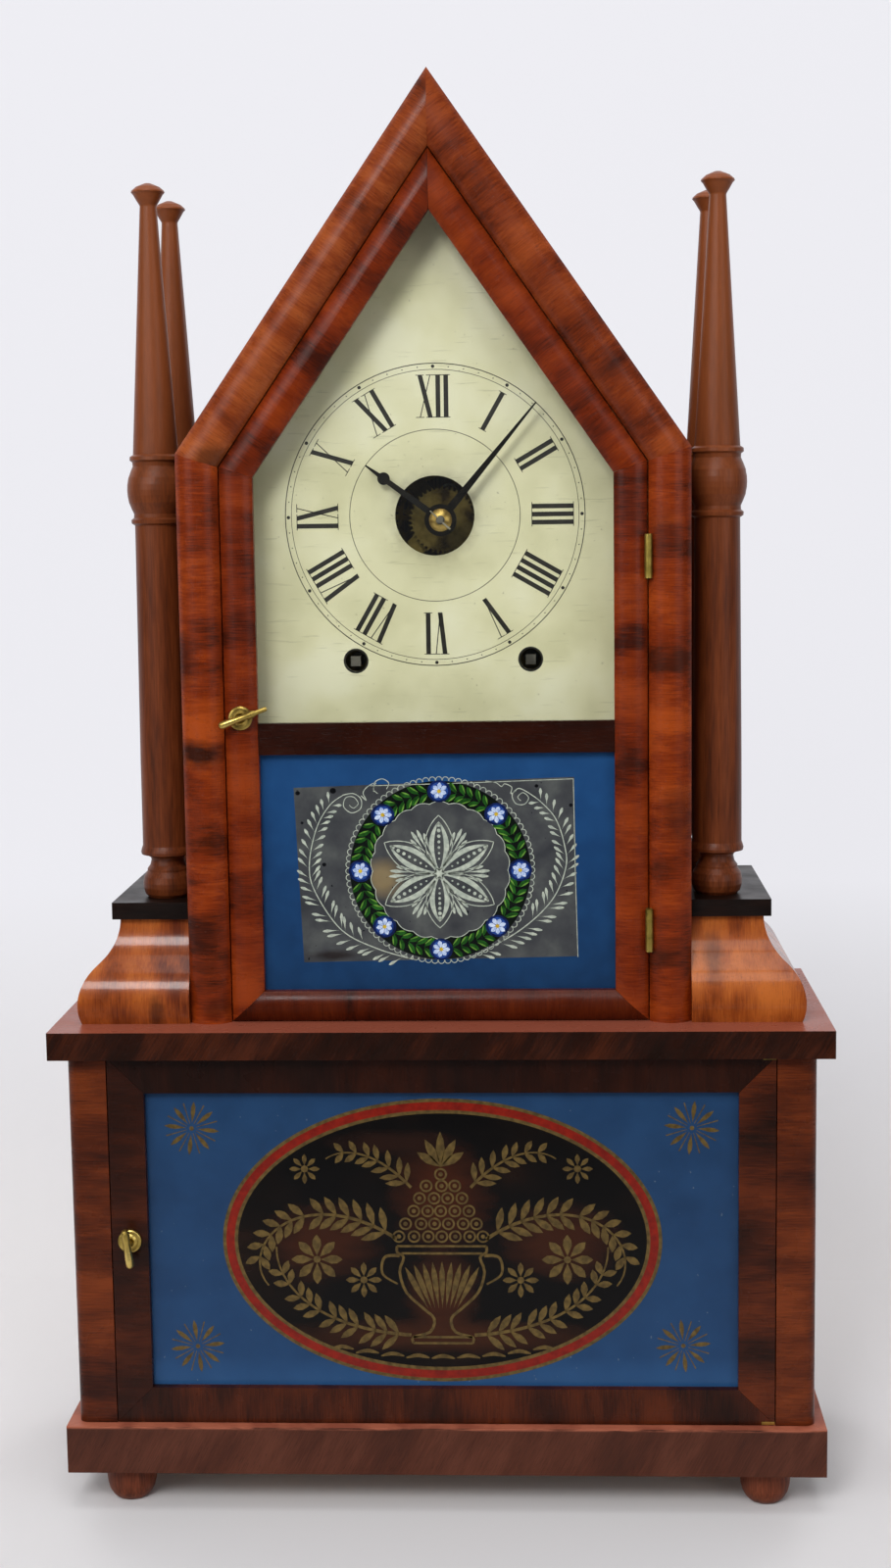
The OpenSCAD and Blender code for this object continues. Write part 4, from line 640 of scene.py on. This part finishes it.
def leaf(bm, root, turn, long, wide, fullest=0.5, steps=12):
    """A flat petal or leaf from its root, fullest at that share of its length."""
    made = bmesh.ops.create_circle(bm, cap_ends=True, segments=steps, radius=0.5)
    power = math.log(0.5) / math.log(fullest)
    for v in made["verts"]:
        along = min(1.0, max(0.0, v.co.x + 0.5))
        half = math.sin(math.pi * along ** power) * (0.5 if along in (0.0, 1.0) else 1.0)
        across = math.copysign(half, v.co.y) * wide / 2 if abs(v.co.y) > 1e-6 else 0
        v.co = Vector((along * long * MM, across * MM, 0))
    bmesh.ops.rotate(bm, verts=made["verts"], cent=(0, 0, 0), matrix=Matrix.Rotation(turn, 3, "Z"))
    bmesh.ops.translate(bm, verts=made["verts"], vec=(root[0] * MM, root[1] * MM, 0))


def line(bm, points, wide, end=None, swell=0.0):
    """A brushed line through points, tapering from one width to another, or swelling in its middle."""
    end = wide if end is None else end
    last = None
    for i, p in enumerate(points):
        ahead, behind = Vector(points[min(i + 1, len(points) - 1)]), Vector(points[max(i - 1, 0)])
        run = (ahead - behind).normalized()
        t = i / (len(points) - 1)
        half = (wide + (end - wide) * t + swell * math.sin(math.pi * t)) / 2
        pair = [bm.verts.new(((p[0] - s * run.y * half) * MM, (p[1] + s * run.x * half) * MM, 0))
                for s in (1, -1)]
        if last:
            bm.faces.new((last[0], last[1], pair[1], pair[0]))
        last = pair


def polar(radius, turn, middle=(0, 0)):
    """The point at that radius and turn, in radians, from a middle."""
    return middle[0] + radius * math.cos(turn), middle[1] + radius * math.sin(turn)


wreath_out, wreath_in, flower_ring, flowers, sprigs = 42.2, 31.6, 37.4, 8, 5
wreath_middle = (wreath_out + wreath_in) / 2
ground = bmesh.new()
ring(ground, wreath_middle, wreath_middle, wreath_out - wreath_in, 176, scallops=22, swell=0.035)
chance = random.Random(7)
leaves, leaf_lights = bmesh.new(), bmesh.new()
for gap in range(flowers):
    for k in range(sprigs):
        a = math.radians((gap + 0.5) * 360 / flowers + (k - 2) * 6.0 - 2)
        for side in (-1, 1):
            root = polar(flower_ring - 0.4, a)
            turn = a + math.pi / 2 - side * math.radians(46) + chance.uniform(-0.12, 0.12)
            long = 6.3 + chance.uniform(-0.6, 0.6)
            leaf(leaves, root, turn, long, 2.5, 0.55, 14)
            edge = polar(0.75, turn - side * math.pi / 2, polar(0.8, turn, root))
            leaf(leaf_lights, edge, turn, long * 0.75, 0.75, 0.6, 10)
halos, shades, petals, hearts = bmesh.new(), bmesh.new(), bmesh.new(), bmesh.new()
for k in range(flowers):
    at = polar(flower_ring, math.radians(k * 360 / flowers))
    spot(halos, at, 5.5, 24, 5.2)
    spot(shades, at, 4.2, 20)
    for n in range(7):
        turn = math.radians(k * 17 + n * 360 / 7)
        leaf(petals, at, turn, 3.9 + chance.uniform(-0.4, 0.4), 2.2, 0.66)
    spot(hearts, at, 0.95, 10)
for name, layer, lift, size, *tones_of_it in (
        ("wreath_ground", ground, -0.02, 3, "wreath_black", "070c0a", "0e1610"),
        ("wreath_leaves", leaves, 0.01, 3, "leaf_green", "12340f", "245a1d"),
        ("wreath_leaf_lights", leaf_lights, 0.04, 3, "leaf_light", "4c7c2c", "6f9a40"),
        ("wreath_flower_halos", halos, 0.05, 3, "halo_blue", "0b1433", "13245a"),
        ("wreath_flower_shades", shades, 0.07, 3, "flower_blue", "16306f", "2b4e9a"),
        ("wreath_petals", petals, 0.09, 1.6, "petal_white", "8fa6d2", "d3dff0"),
        ("wreath_flower_hearts", hearts, 0.12, 3, "heart_yellow", "a8861e", "d3b83c")):
    brushed_on(name, layer, upper_face, lift, paint(*tones_of_it, size=size))


def through(points, steps=8):
    """A smooth run of points through the given ones."""
    ends = [points[0], *points, points[-1]]
    run = []
    for before, here, there, after in zip(ends, ends[1:], ends[2:], ends[3:]):
        for i in range(steps):
            t = i / steps
            run.append(tuple(0.5 * (2 * h + (n - b) * t + (2 * b - 5 * h + 4 * n - f) * t * t
                                    + (3 * h - b - 3 * n + f) * t ** 3)
                             for b, h, n, f in zip(before, here, there, after)))
    return [*run, points[-1]]


# The lace is one white: loops round the wreath, a scalloped line in it, and a rosette of six
# pointed petals. Ferns of drop-shaped strokes rise from the bottom, each ending in pen curls.
lace = bmesh.new()
lace_loops = 88
for k in range(lace_loops):
    a = k * 360 / lace_loops
    middle = polar(wreath_out + 0.6, math.radians(a))
    line(lace, [polar(1.45, math.radians(a + t), middle) for t in range(-105, 106, 30)], 0.36)
ring(lace, wreath_in, wreath_in, 0.36, 176, scallops=22, swell=0.035)
rose = (-0.4, -1.4)
petal_steps = [i / 14 for i in range(15)]
for k, tip in enumerate((29.5, 27.5, 29.5, 29.5, 25.8, 29.5)):
    turn = math.radians(k * 60 + 30)
    for half, thin, fat in ((6.3, 0.42, 0.0), (3.5, 0.3, 2.1)):
        reach = tip - (0 if fat == 0 else 3.0)
        for side in (-1, 1):
            edge = [polar(half * math.sin(math.pi * t) ** 0.8, turn + side * math.pi / 2,
                          polar(1.5 + (reach - 1.5) * t, turn, rose)) for t in petal_steps]
            line(lace, edge, thin, swell=fat)
    for n in range(7):
        spot(lace, polar(7 + n * (tip - 11.5) / 6, turn, rose), 0.45 + 0.09 * n, 10)
    between = turn + math.radians(30)
    for lean, tip_at in ((-0.17, 20.5), (-0.06, 23.2), (0.05, 23.8), (0.16, 21.0)):
        root = polar(4.0, between + lean * 0.5, rose)
        line(lace, [root, polar(12, between + lean * 0.8, rose)], 0.2, 0.35)
        leaf(lace, polar(11, between + lean * 0.8, rose), between + lean * 1.25, tip_at - 11, 1.75, 0.78)
spot(lace, rose, 2.4, 16)

fern_left = ((-12.5, -42.3), (-30, -37), (-46.7, -28), (-58.7, -10), (-61.3, 3), (-57.7, 20), (-51.3, 31),
             (-44.7, 36))
fern_right = ((13.1, -41.7), (36.3, -29), (51.9, -14.5), (58.6, 1), (58, 12), (54.1, 24), (47.3, 32),
              (41.3, 36.5))
frond_gap, frond_end, clear_of_lace = 4.1, 33, 45.2
for stem, side in ((fern_left, -1), (fern_right, 1)):
    path = through(stem)
    line(lace, path, 0.55, 0.4)
    far = 0.0
    for (x, y), (bx, by) in zip(path[1:], path):
        far += math.hypot(x - bx, y - by)
        if far < frond_gap or y > frond_end:
            continue
        far -= frond_gap
        run = math.atan2(y - by, x - bx)
        for hand in (-1, 1):
            outer = hand * side < 0
            long = (9.0 if outer else 8.2) - 2.6 * max(0.0, (y + 10) / 45) - (1.0 if y < -36 else 0.0)
            if outer and y > -12:
                long = min(long, 7.4)
            turn = run + hand * math.radians(44 if outer else 50)
            if not outer and math.hypot(*polar(long, turn, (x, y))) < clear_of_lace:
                continue
            leaf(lace, (x, y), turn, long, 1.55, 0.8)
pens = (((-44.7, 36), (-40, 36.6), (-36.5, 34), (-36.8, 29.5), (-41, 27.6), (-44.6, 30.5),
         (-43.6, 34.6), (-40, 35), (-37.8, 32), (-40, 29.8), (-42, 31.2)),
        ((-36.4, 35.6), (-34, 33.4), (-35.4, 37), (-33, 40), (-29.5, 41.5), (-30.6, 38.6), (-28.6, 36.5)),
        ((-30.4, 37.4), (-30, 41.6), (-26.5, 43.4), (-23.4, 41.5), (-24.4, 38.6)),
        ((41.3, 36.5), (37, 38.4), (34, 35.4), (35.6, 31.4), (39.6, 31), (41.6, 34), (39, 36.4),
         (36.6, 34.4), (38, 32.6)),
        ((36, 37.6), (33.4, 36), (33.8, 39), (30.6, 40.6), (29, 39.4), (26.4, 41.2), (21.6, 42)))
for pen in pens:
    line(lace, through(pen), 0.45, 0.32)
for edge in (((-32, 40.2), (15, 41.2), (62.4, 42.7)), ((62.4, 42.7), (63.0, 0), (64.0, -41.4))):
    line(lace, edge, 0.3)
brushed_on("tablet_lace", lace, upper_face, 0.0, paint("lace_white", "97a095", "bcc3b3", size=2))
flaws = bmesh.new()
for x, y, r in ((-66, 37, 1.1), (-49.5, 38, 1.5), (45.3, 39.5, 0.9), (61.2, 30.4, 0.9), (-64.3, 23, 0.7),
                (-54.3, 3.2, 1.0)):
    spot(flaws, (x, y), r, 12, r * 0.9)
brushed_on("tablet_flaws", flaws, upper_face, -0.01, paint("flaw_black", "08090b", "111318"))

# ---------------------------------------------------------------------------------------------
# Hardware of the doors: brass butt hinges and pins, and on each door a turned brass bar that works
# its tongue through a round plate with a raised collar.
# The brass is bright where fingers rub it, and brown in its corners.
dress(clock_brass("hinge_brass", light="bda657", body="97833f", dark="57481f", rough=0.36),
      "case_hinges", "door_hinges", "lower_pivots")
rubbed = clock_brass("rubbed_brass", light="d2b96c", body="b39a50", dark="6f5b2b", rough=0.26)
dress(rubbed, "upper_latch_plate", "lower_latch_plate")

# Outlines run from the handle's end to the other as (along, radius), and from the collar's mouth to
# its rim as (out, radius).
grip_outline = ((-10.1, 0), (-10.0, 0.9), (-9.5, 1.5), (-8.6, 1.85), (-7, 1.9), (-4, 1.7), (-1.5, 1.45),
                (1.5, 1.42), (4, 1.5), (5.2, 1.85), (6.6, 1.8), (7.9, 1.3), (8.2, 1.1), (13.2, 1.08),
                (13.6, 0.8), (13.6, 0))
wing_outline = ((-11.0, 0), (-10.9, 0.8), (-10.3, 1.5), (-9.2, 1.9), (-6, 2.0), (-2, 1.7), (1.5, 1.6),
                (4, 1.9), (6, 1.9), (7.4, 1.4), (7.9, 0.7), (8.0, 0))
collar_outline = ((0.0, 1.75), (0.9, 1.9), (1.15, 2.5), (0.8, 3.2), (0.35, 3.7), (0.45, 4.6), (0.3, 5.2),
                  (0.0, 5.5))
widest, spindle_radius = 2.0, 1.5
tongue_wide, tongue_thick, tongue_long = 5 * MM, 1.6 * MM, 15 * MM
for door, outline, lean, fat in (("upper", grip_outline, 20, 1.0), ("lower", wing_outline, 97, 1.35)):
    plate_low, plate_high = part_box(door + "_latch_plate")
    latch_low, latch_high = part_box(door + "_latch")
    x, z = (plate_low[0] + plate_high[0]) / 2, (plate_low[2] + plate_high[2]) / 2
    bar_y = latch_low[1] + widest * fat * MM
    latch = bmesh.new()
    spun(latch, [(along * MM, radius * MM, 0) for along, radius in outline], (1, 0, 0), 28)
    bmesh.ops.scale(latch, verts=latch.verts, vec=(1, fat, 1))
    put(latch, latch.verts, (x, bar_y, z), (-lean, "Y"))
    spindle = bmesh.ops.create_cone(latch, cap_ends=True, segments=24, radius1=spindle_radius * MM,
                                    radius2=spindle_radius * MM, depth=latch_high[1] - bar_y)["verts"]
    put(latch, spindle, (x, (latch_high[1] + bar_y) / 2, z), (90, "X"))
    tongue = bmesh.ops.create_cube(latch, size=1.0)["verts"]
    bmesh.ops.scale(latch, verts=tongue, vec=(tongue_wide, tongue_thick, tongue_long))
    put(latch, tongue, (x, latch_high[1] - tongue_thick / 2, z - tongue_long / 2))
    bmesh.ops.bevel(latch, geom=list({e for v in tongue for e in v.link_edges}), offset=0.35 * MM,
                    segments=2, profile=0.5, affect="EDGES", material=-1)
    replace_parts(piece(door + "_turn_latch", latch, rubbed, door + "_latch", smooth=True),
                door + "_latch")
    collar = bmesh.new()
    spun(collar, [(radius * MM, -out * MM, 0) for out, radius in collar_outline], (0, 1, 0), 40,
         closed=True)
    put(collar, collar.verts, (x, plate_low[1] + 0.02 * MM, z))
    piece(door + "_latch_collar", collar, rubbed, door + "_door", smooth=True)

# ---------------------------------------------------------------------------------------------
# Lower door: a wide mitred frame hung on two pins, with painted shade darkening its veneer most
# along the top rail under the cornice, and less along the bottom rail and on the left stile.


def lower_mitres(tree, place):
    """The grain's lean over the lower door, and the share of painted shade on its rails and its left stile.
    """
    axes = axes_of(tree, place)
    out = reckon(tree, "ABSOLUTE", axes[0])
    top = reckon(tree, "GREATER_THAN", reckon(tree, "SUBTRACT", axes[2], out), 64.5 * MM)
    low = reckon(tree, "LESS_THAN", reckon(tree, "ADD", axes[2], out), 198.0 * MM)
    level = reckon(tree, "ADD", top, low)
    left = times(tree, reckon(tree, "SUBTRACT", 1.0, level), reckon(tree, "LESS_THAN", axes[0], 0.0))
    # Painted shade: darkest on the top rail under the cornice, less on the bottom rail and the left stile.
    shade = reckon(tree, "MULTIPLY_ADD", left, 0.6, reckon(tree, "MULTIPLY_ADD", low, 0.35, top))
    return times(tree, level, math.pi / 2), times(tree, shade, 0.8)


dress(veneer("lower_door_mahogany", lower_mitres, "1c0a04", "3a1608", "5c260e", shade="140704", shift=7.1),
      "lower_door_frame")

# ---------------------------------------------------------------------------------------------
# Lower tablet: glass painted blue round an oval window of black and copper, edged in red and gold.
# In the window is gilt stencil work: an urn of fruit between scrolling sprays of leaves.
# A gilt star flower stands in each corner.
oval_middle, oval_across, oval_up = (-0.2, 130.4), 99.8, 65.3
lower_face = (oval_middle, -55.5 * MM, "lower_door", "lower_tablet_glass")
material, tree, shader, place = finish("lower_tablet_paint", 0.16, shine=0.16)
axes = axes_of(tree, place)
height = add(tree, "MapRange", {0: axes[2], 1: 59.5 * MM, 2: 203 * MM})
blue = tones(tree, height, (0.0, "29507c"), (0.1, "1d3c61"), (0.6, "1b3657"), (1.0, "1d3a5c"))
blue = lay(tree, 0.25, blue, tones(tree, mottle(tree, place, 16, 4), (0.3, "162f4f"), (0.7, "274a72")))
chips = tones(tree, mottle(tree, place, 2.2, 1), (0.20, 1.0), (0.22, 0.0))
blue = lay(tree, times(tree, chips, 0.5), blue, hue("6e7a80"))
tint(tree, shader, blue)
relief(tree, shader, mottle(tree, place, 3, 2), 0.02, 0.3)
dress(material, "lower_tablet")

material, tree, shader, place = finish("oval_black_copper", 0.16, shine=0.14)
colour = mottle(tree, place, (34, 10, 24), 3)
colour = tones(tree, colour, (0.42, "030202"), (0.6, "0b0503"), (0.75, "1c0c05"))
for x, z, wide, tall, tone, share in ((0, 152, 22, 24, "401b0a", 0.7), (0, 104, 16, 20, "3c1c0d", 0.8),
                                      (-56, 130, 26, 17, "38190b", 0.8), (56, 130, 26, 17, "38190b", 0.8),
                                      (0, 84, 72, 8, "3a1c0d", 0.75), (-22, 178, 30, 6, "24110a", 0.8)):
    haze = times(tree, cloud_at(tree, place, x, z, wide, tall, 0.3), share)
    colour = lay(tree, haze, colour, hue(tone))
tint(tree, shader, colour)
window = bmesh.new()
spot(window, (0, 0), oval_across - 2, 128, oval_up - 2)
brushed_on("oval_window", window, lower_face, -0.02, material)
gilding = paint("gilding", "46371b", "68542b", 0.3, 0.2, size=2.5)
gold_edge = bmesh.new()
ring(gold_edge, oval_across, oval_up, 7.2, 144)
brushed_on("oval_gold_edge", gold_edge, lower_face, 0.01, gilding)
red_line = bmesh.new()
ring(red_line, oval_across, oval_up, 3.9, 144)
brushed_on("oval_red_line", red_line, lower_face, 0.04, paint("red_line", "640b02", "811604"))

stars = bmesh.new()
for x, z in ((-117.0, 185.0), (117.0, 185.0), (-117.0, 78.5), (113.0, 79.5)):
    at = (x - oval_middle[0], z - oval_middle[1])
    turned = chance.uniform(-0.15, 0.15)
    for k in range(8):
        turn = k * math.pi / 4 + turned
        leaf(stars, polar(2.6, turn, at), turn, 10.4, 2.3, 0.6)
        thin = turn + math.pi / 8
        line(stars, [polar(2.4, thin, at), polar(12.6, thin, at)], 0.25, 0.6)
    spot(stars, at, 1.1, 12)
brushed_on("corner_stars", stars, lower_face, -0.01, gilding)


def scroll(bm, start, turn, long, bend, pairs, wide, size):
    """A gilt stem that bends more and more as it runs, with pairs of leaves that grow smaller."""
    points, turns = [start], [turn]
    for i in range(30):
        t = i / 29
        turn += bend * (0.4 + 1.6 * t * t) / 30
        points.append(polar(long / 30, turn, points[-1]))
        turns.append(turn)
    line(bm, points, wide, wide * 0.45)
    for k in range(pairs):
        i = int(2 + k * 26 / pairs)
        for side in (-1, 1):
            leaf(bm, points[i], turns[i] + side * math.radians(48), size * (1 - 0.4 * k / pairs),
                 size * 0.3, 0.55)


design = bmesh.new()
urn = ((14, -50), (14, -47), (6, -44.5), (4, -38), (9, -33), (17, -25), (20, -15), (18, -8), (21, -5.5),
       (21, -2.5))
for side in (-1, 1):
    line(design, through([(side * x, y) for x, y in urn], 3), 1.3)
    line(design, through(((side * 20, -7), (side * 27, -8), (side * 28, -16), (side * 21, -21))), 1.6, 0.9)
for y, half in ((-50, 14), (-47, 14), (-2.5, 21), (-6, 19)):
    line(design, [(-half, y), (half, y)], 1.1)
for k in range(-4, 5):
    leaf(design, (k * 1.7, -33), math.pi / 2 - k * 0.12, 23, 2.9, 0.62)
for count, y in ((7, 2.2), (6, 8.4), (5, 14.6), (4, 20.8), (3, 26.8), (1, 32.4)):
    for k in range(count):
        x = (k - (count - 1) / 2) * 6.6 + chance.uniform(-0.4, 0.4)
        ring(design, 2.6, 2.6, 0.9, 16, (x, y))
        spot(design, (x, y), 1.05, 10)
for k in range(5):
    leaf(design, (0, 36), math.pi / 2 + (k - 2) * 0.5, 17 - abs(k - 2) * 2, 4.2, 0.55)
for side in (-1, 1):
    ahead = 0 if side > 0 else math.pi
    scroll(design, (side * 21, 1), ahead + side * 0.62, 92, -side * 3.0, 12, 1.7, 12.5)
    scroll(design, (side * 15, -46), ahead + side * 0.05, 84, side * 1.6, 11, 1.7, 11.5)
    scroll(design, (side * 14, 26), ahead + side * 0.85, 46, -side * 1.5, 7, 1.4, 10.0)
    for x, y, long in ((59, -9, 10.5), (37, -19, 7.0), (64, 35, 5.6)):
        for n in range(8):
            leaf(design, polar(1.6, n * math.pi / 4, (side * x, y)), n * math.pi / 4, long, long * 0.42, 0.6)
        spot(design, (side * x, y), 1.7, 12)
for x in range(-48, 49, 12):
    y = -57.5 + 7.0 * (x / 60) ** 2
    line(design, through(((x - 5.5, y), (x, y + 1.2), (x + 5.5, y))), 0.5, swell=1.4)
brushed_on("oval_gilt_design", design, lower_face, 0.05, gilding)

# ---------------------------------------------------------------------------------------------
# The room: a pale floor that curves up into a pale wall close behind, under soft studio lamps.
# The wall shows at its own pale tone, and its back is clear, so the clock can be seen from behind.
# The floor darkens in front of the clock, where the glass and the polish would mirror it.
wall_y, wall_top, cove, floor_half, bright_y, dark_y = 0.55, 3.5, 0.30, 9.0, -0.32, -0.90
material, tree, shader, place = finish("backdrop_paper", 0.9, shine=0.1)
axes = axes_of(tree, place)
near = add(tree, "MapRange", {0: axes[1], 1: dark_y, 2: bright_y})
tint(tree, shader, lay(tree, near, hue("66676a"), hue("dcdadb")))
pale = add(tree, "Emission", {"Color": hue("f2f2f8"), "Strength": 0.98})
path = add(tree, "LightPath", {}).node.outputs
straight = reckon(tree, "MAXIMUM", path["Is Glossy Ray"], path["Is Transmission Ray"])
straight = reckon(tree, "MAXIMUM", path["Is Camera Ray"], straight)
rise = add(tree, "MapRange", {0: axes[2], 1: 0.0, 2: 0.20, 3: 0.0, 4: 0.85})
both = add(tree, "MixShader", {0: times(tree, straight, rise), 1: shader.outputs[0], 2: pale})
back = add(tree, "NewGeometry", {}).node.outputs["Backfacing"]
one_sided = add(tree, "MixShader", {0: back, 1: both, 2: add(tree, "BsdfTransparent", {})})
tree.links.new(one_sided, tree.nodes["Material Output"].inputs["Surface"])
curve = [math.radians(t) for t in range(0, 91, 10)]
curve = [(wall_y - cove + cove * math.sin(t), cove - cove * math.cos(t)) for t in curve]
for name, outline in (("floor", [(-floor_half, 0.0), (floor_half, 0.0)]),
                      ("backdrop", [*curve, (wall_y, wall_top)])):
    paper = bmesh.new()
    edge = [paper.verts.new((-floor_half, y, z)) for y, z in outline]
    edges = [paper.edges.new((a, b)) for a, b in zip(edge, edge[1:])]
    swept = bmesh.ops.extrude_edge_only(paper, edges=edges)
    bmesh.ops.translate(paper, verts=[v for v in swept["geom"] if isinstance(v, bmesh.types.BMVert)],
                        vec=(2 * floor_half, 0, 0))
    paper.normal_update()
    if paper.faces[:][0].normal.z < 0:
        bmesh.ops.reverse_faces(paper, faces=paper.faces)
    mesh = bpy.data.meshes.new(name)
    paper.to_mesh(mesh)
    paper.free()
    mesh.shade_smooth()
    mesh.materials.append(material)
    sheet = bpy.data.objects.new(name, mesh)
    sheet.visible_shadow = False
    bpy.context.scene.collection.objects.link(sheet)


# Five soft lamps stand in front and above, and two behind light the backs and the roof.
clock_middle = (0, 0, 0.35)
for name, at, towards, size, power in (
        ("lamp_left", (-1.45, -1.6, 1.05), clock_middle, 1.1, 11.6),
        ("lamp_front", (-0.5, -1.75, 1.5), clock_middle, 0.6, 20),
        ("lamp_high", (0.15, -1.55, 2.1), clock_middle, 0.9, 8.4),
        ("lamp_right", (1.5, -1.6, 0.9), clock_middle, 1.2, 8.8),
        ("lamp_above", (0.0, -0.3, 1.9), (0, 0.1, 0.3), 0.9, 8.2),
        ("lamp_back_left", (-1.3, 1.7, 1.3), clock_middle, 0.9, 9),
        ("lamp_back_right", (1.3, 1.7, 1.3), clock_middle, 0.9, 9)):
    light = bpy.data.lights.new(name, "AREA")
    light.size, light.energy = size, power
    lamp = bpy.data.objects.new(name, light)
    lamp.location = at
    lamp.rotation_euler = (Vector(towards) - Vector(at)).to_track_quat("-Z", "Y").to_euler()
    lamp.visible_camera = False
    bpy.context.scene.collection.objects.link(lamp)

world = bpy.data.worlds.new("studio")
world.use_nodes = True
bpy.context.scene.world = world
world.node_tree.nodes["Background"].inputs["Color"].default_value = hue("e8ebf0")
world.node_tree.nodes["Background"].inputs["Strength"].default_value = 0.2

# The camera stands a metre in front at the height of the dial, a little to the right, looking down.
lens = bpy.data.cameras.new("camera")
lens.lens, lens.sensor_width = 49.5, 36.0
camera = bpy.data.objects.new("camera", lens)
bpy.context.scene.collection.objects.link(camera)
right, up, back = (0.99888, 0.04512, -0.01409), (0.00836, 0.12470, 0.99216), (0.04652, -0.99117, 0.12418)
stands_at = (0.0506, -1.0337, 0.4696)
camera.matrix_world = Matrix.Translation(stands_at) @ Matrix((right, up, back)).transposed().to_4x4()
bpy.context.scene.camera = camera
bpy.context.scene.view_settings.view_transform = "Standard"
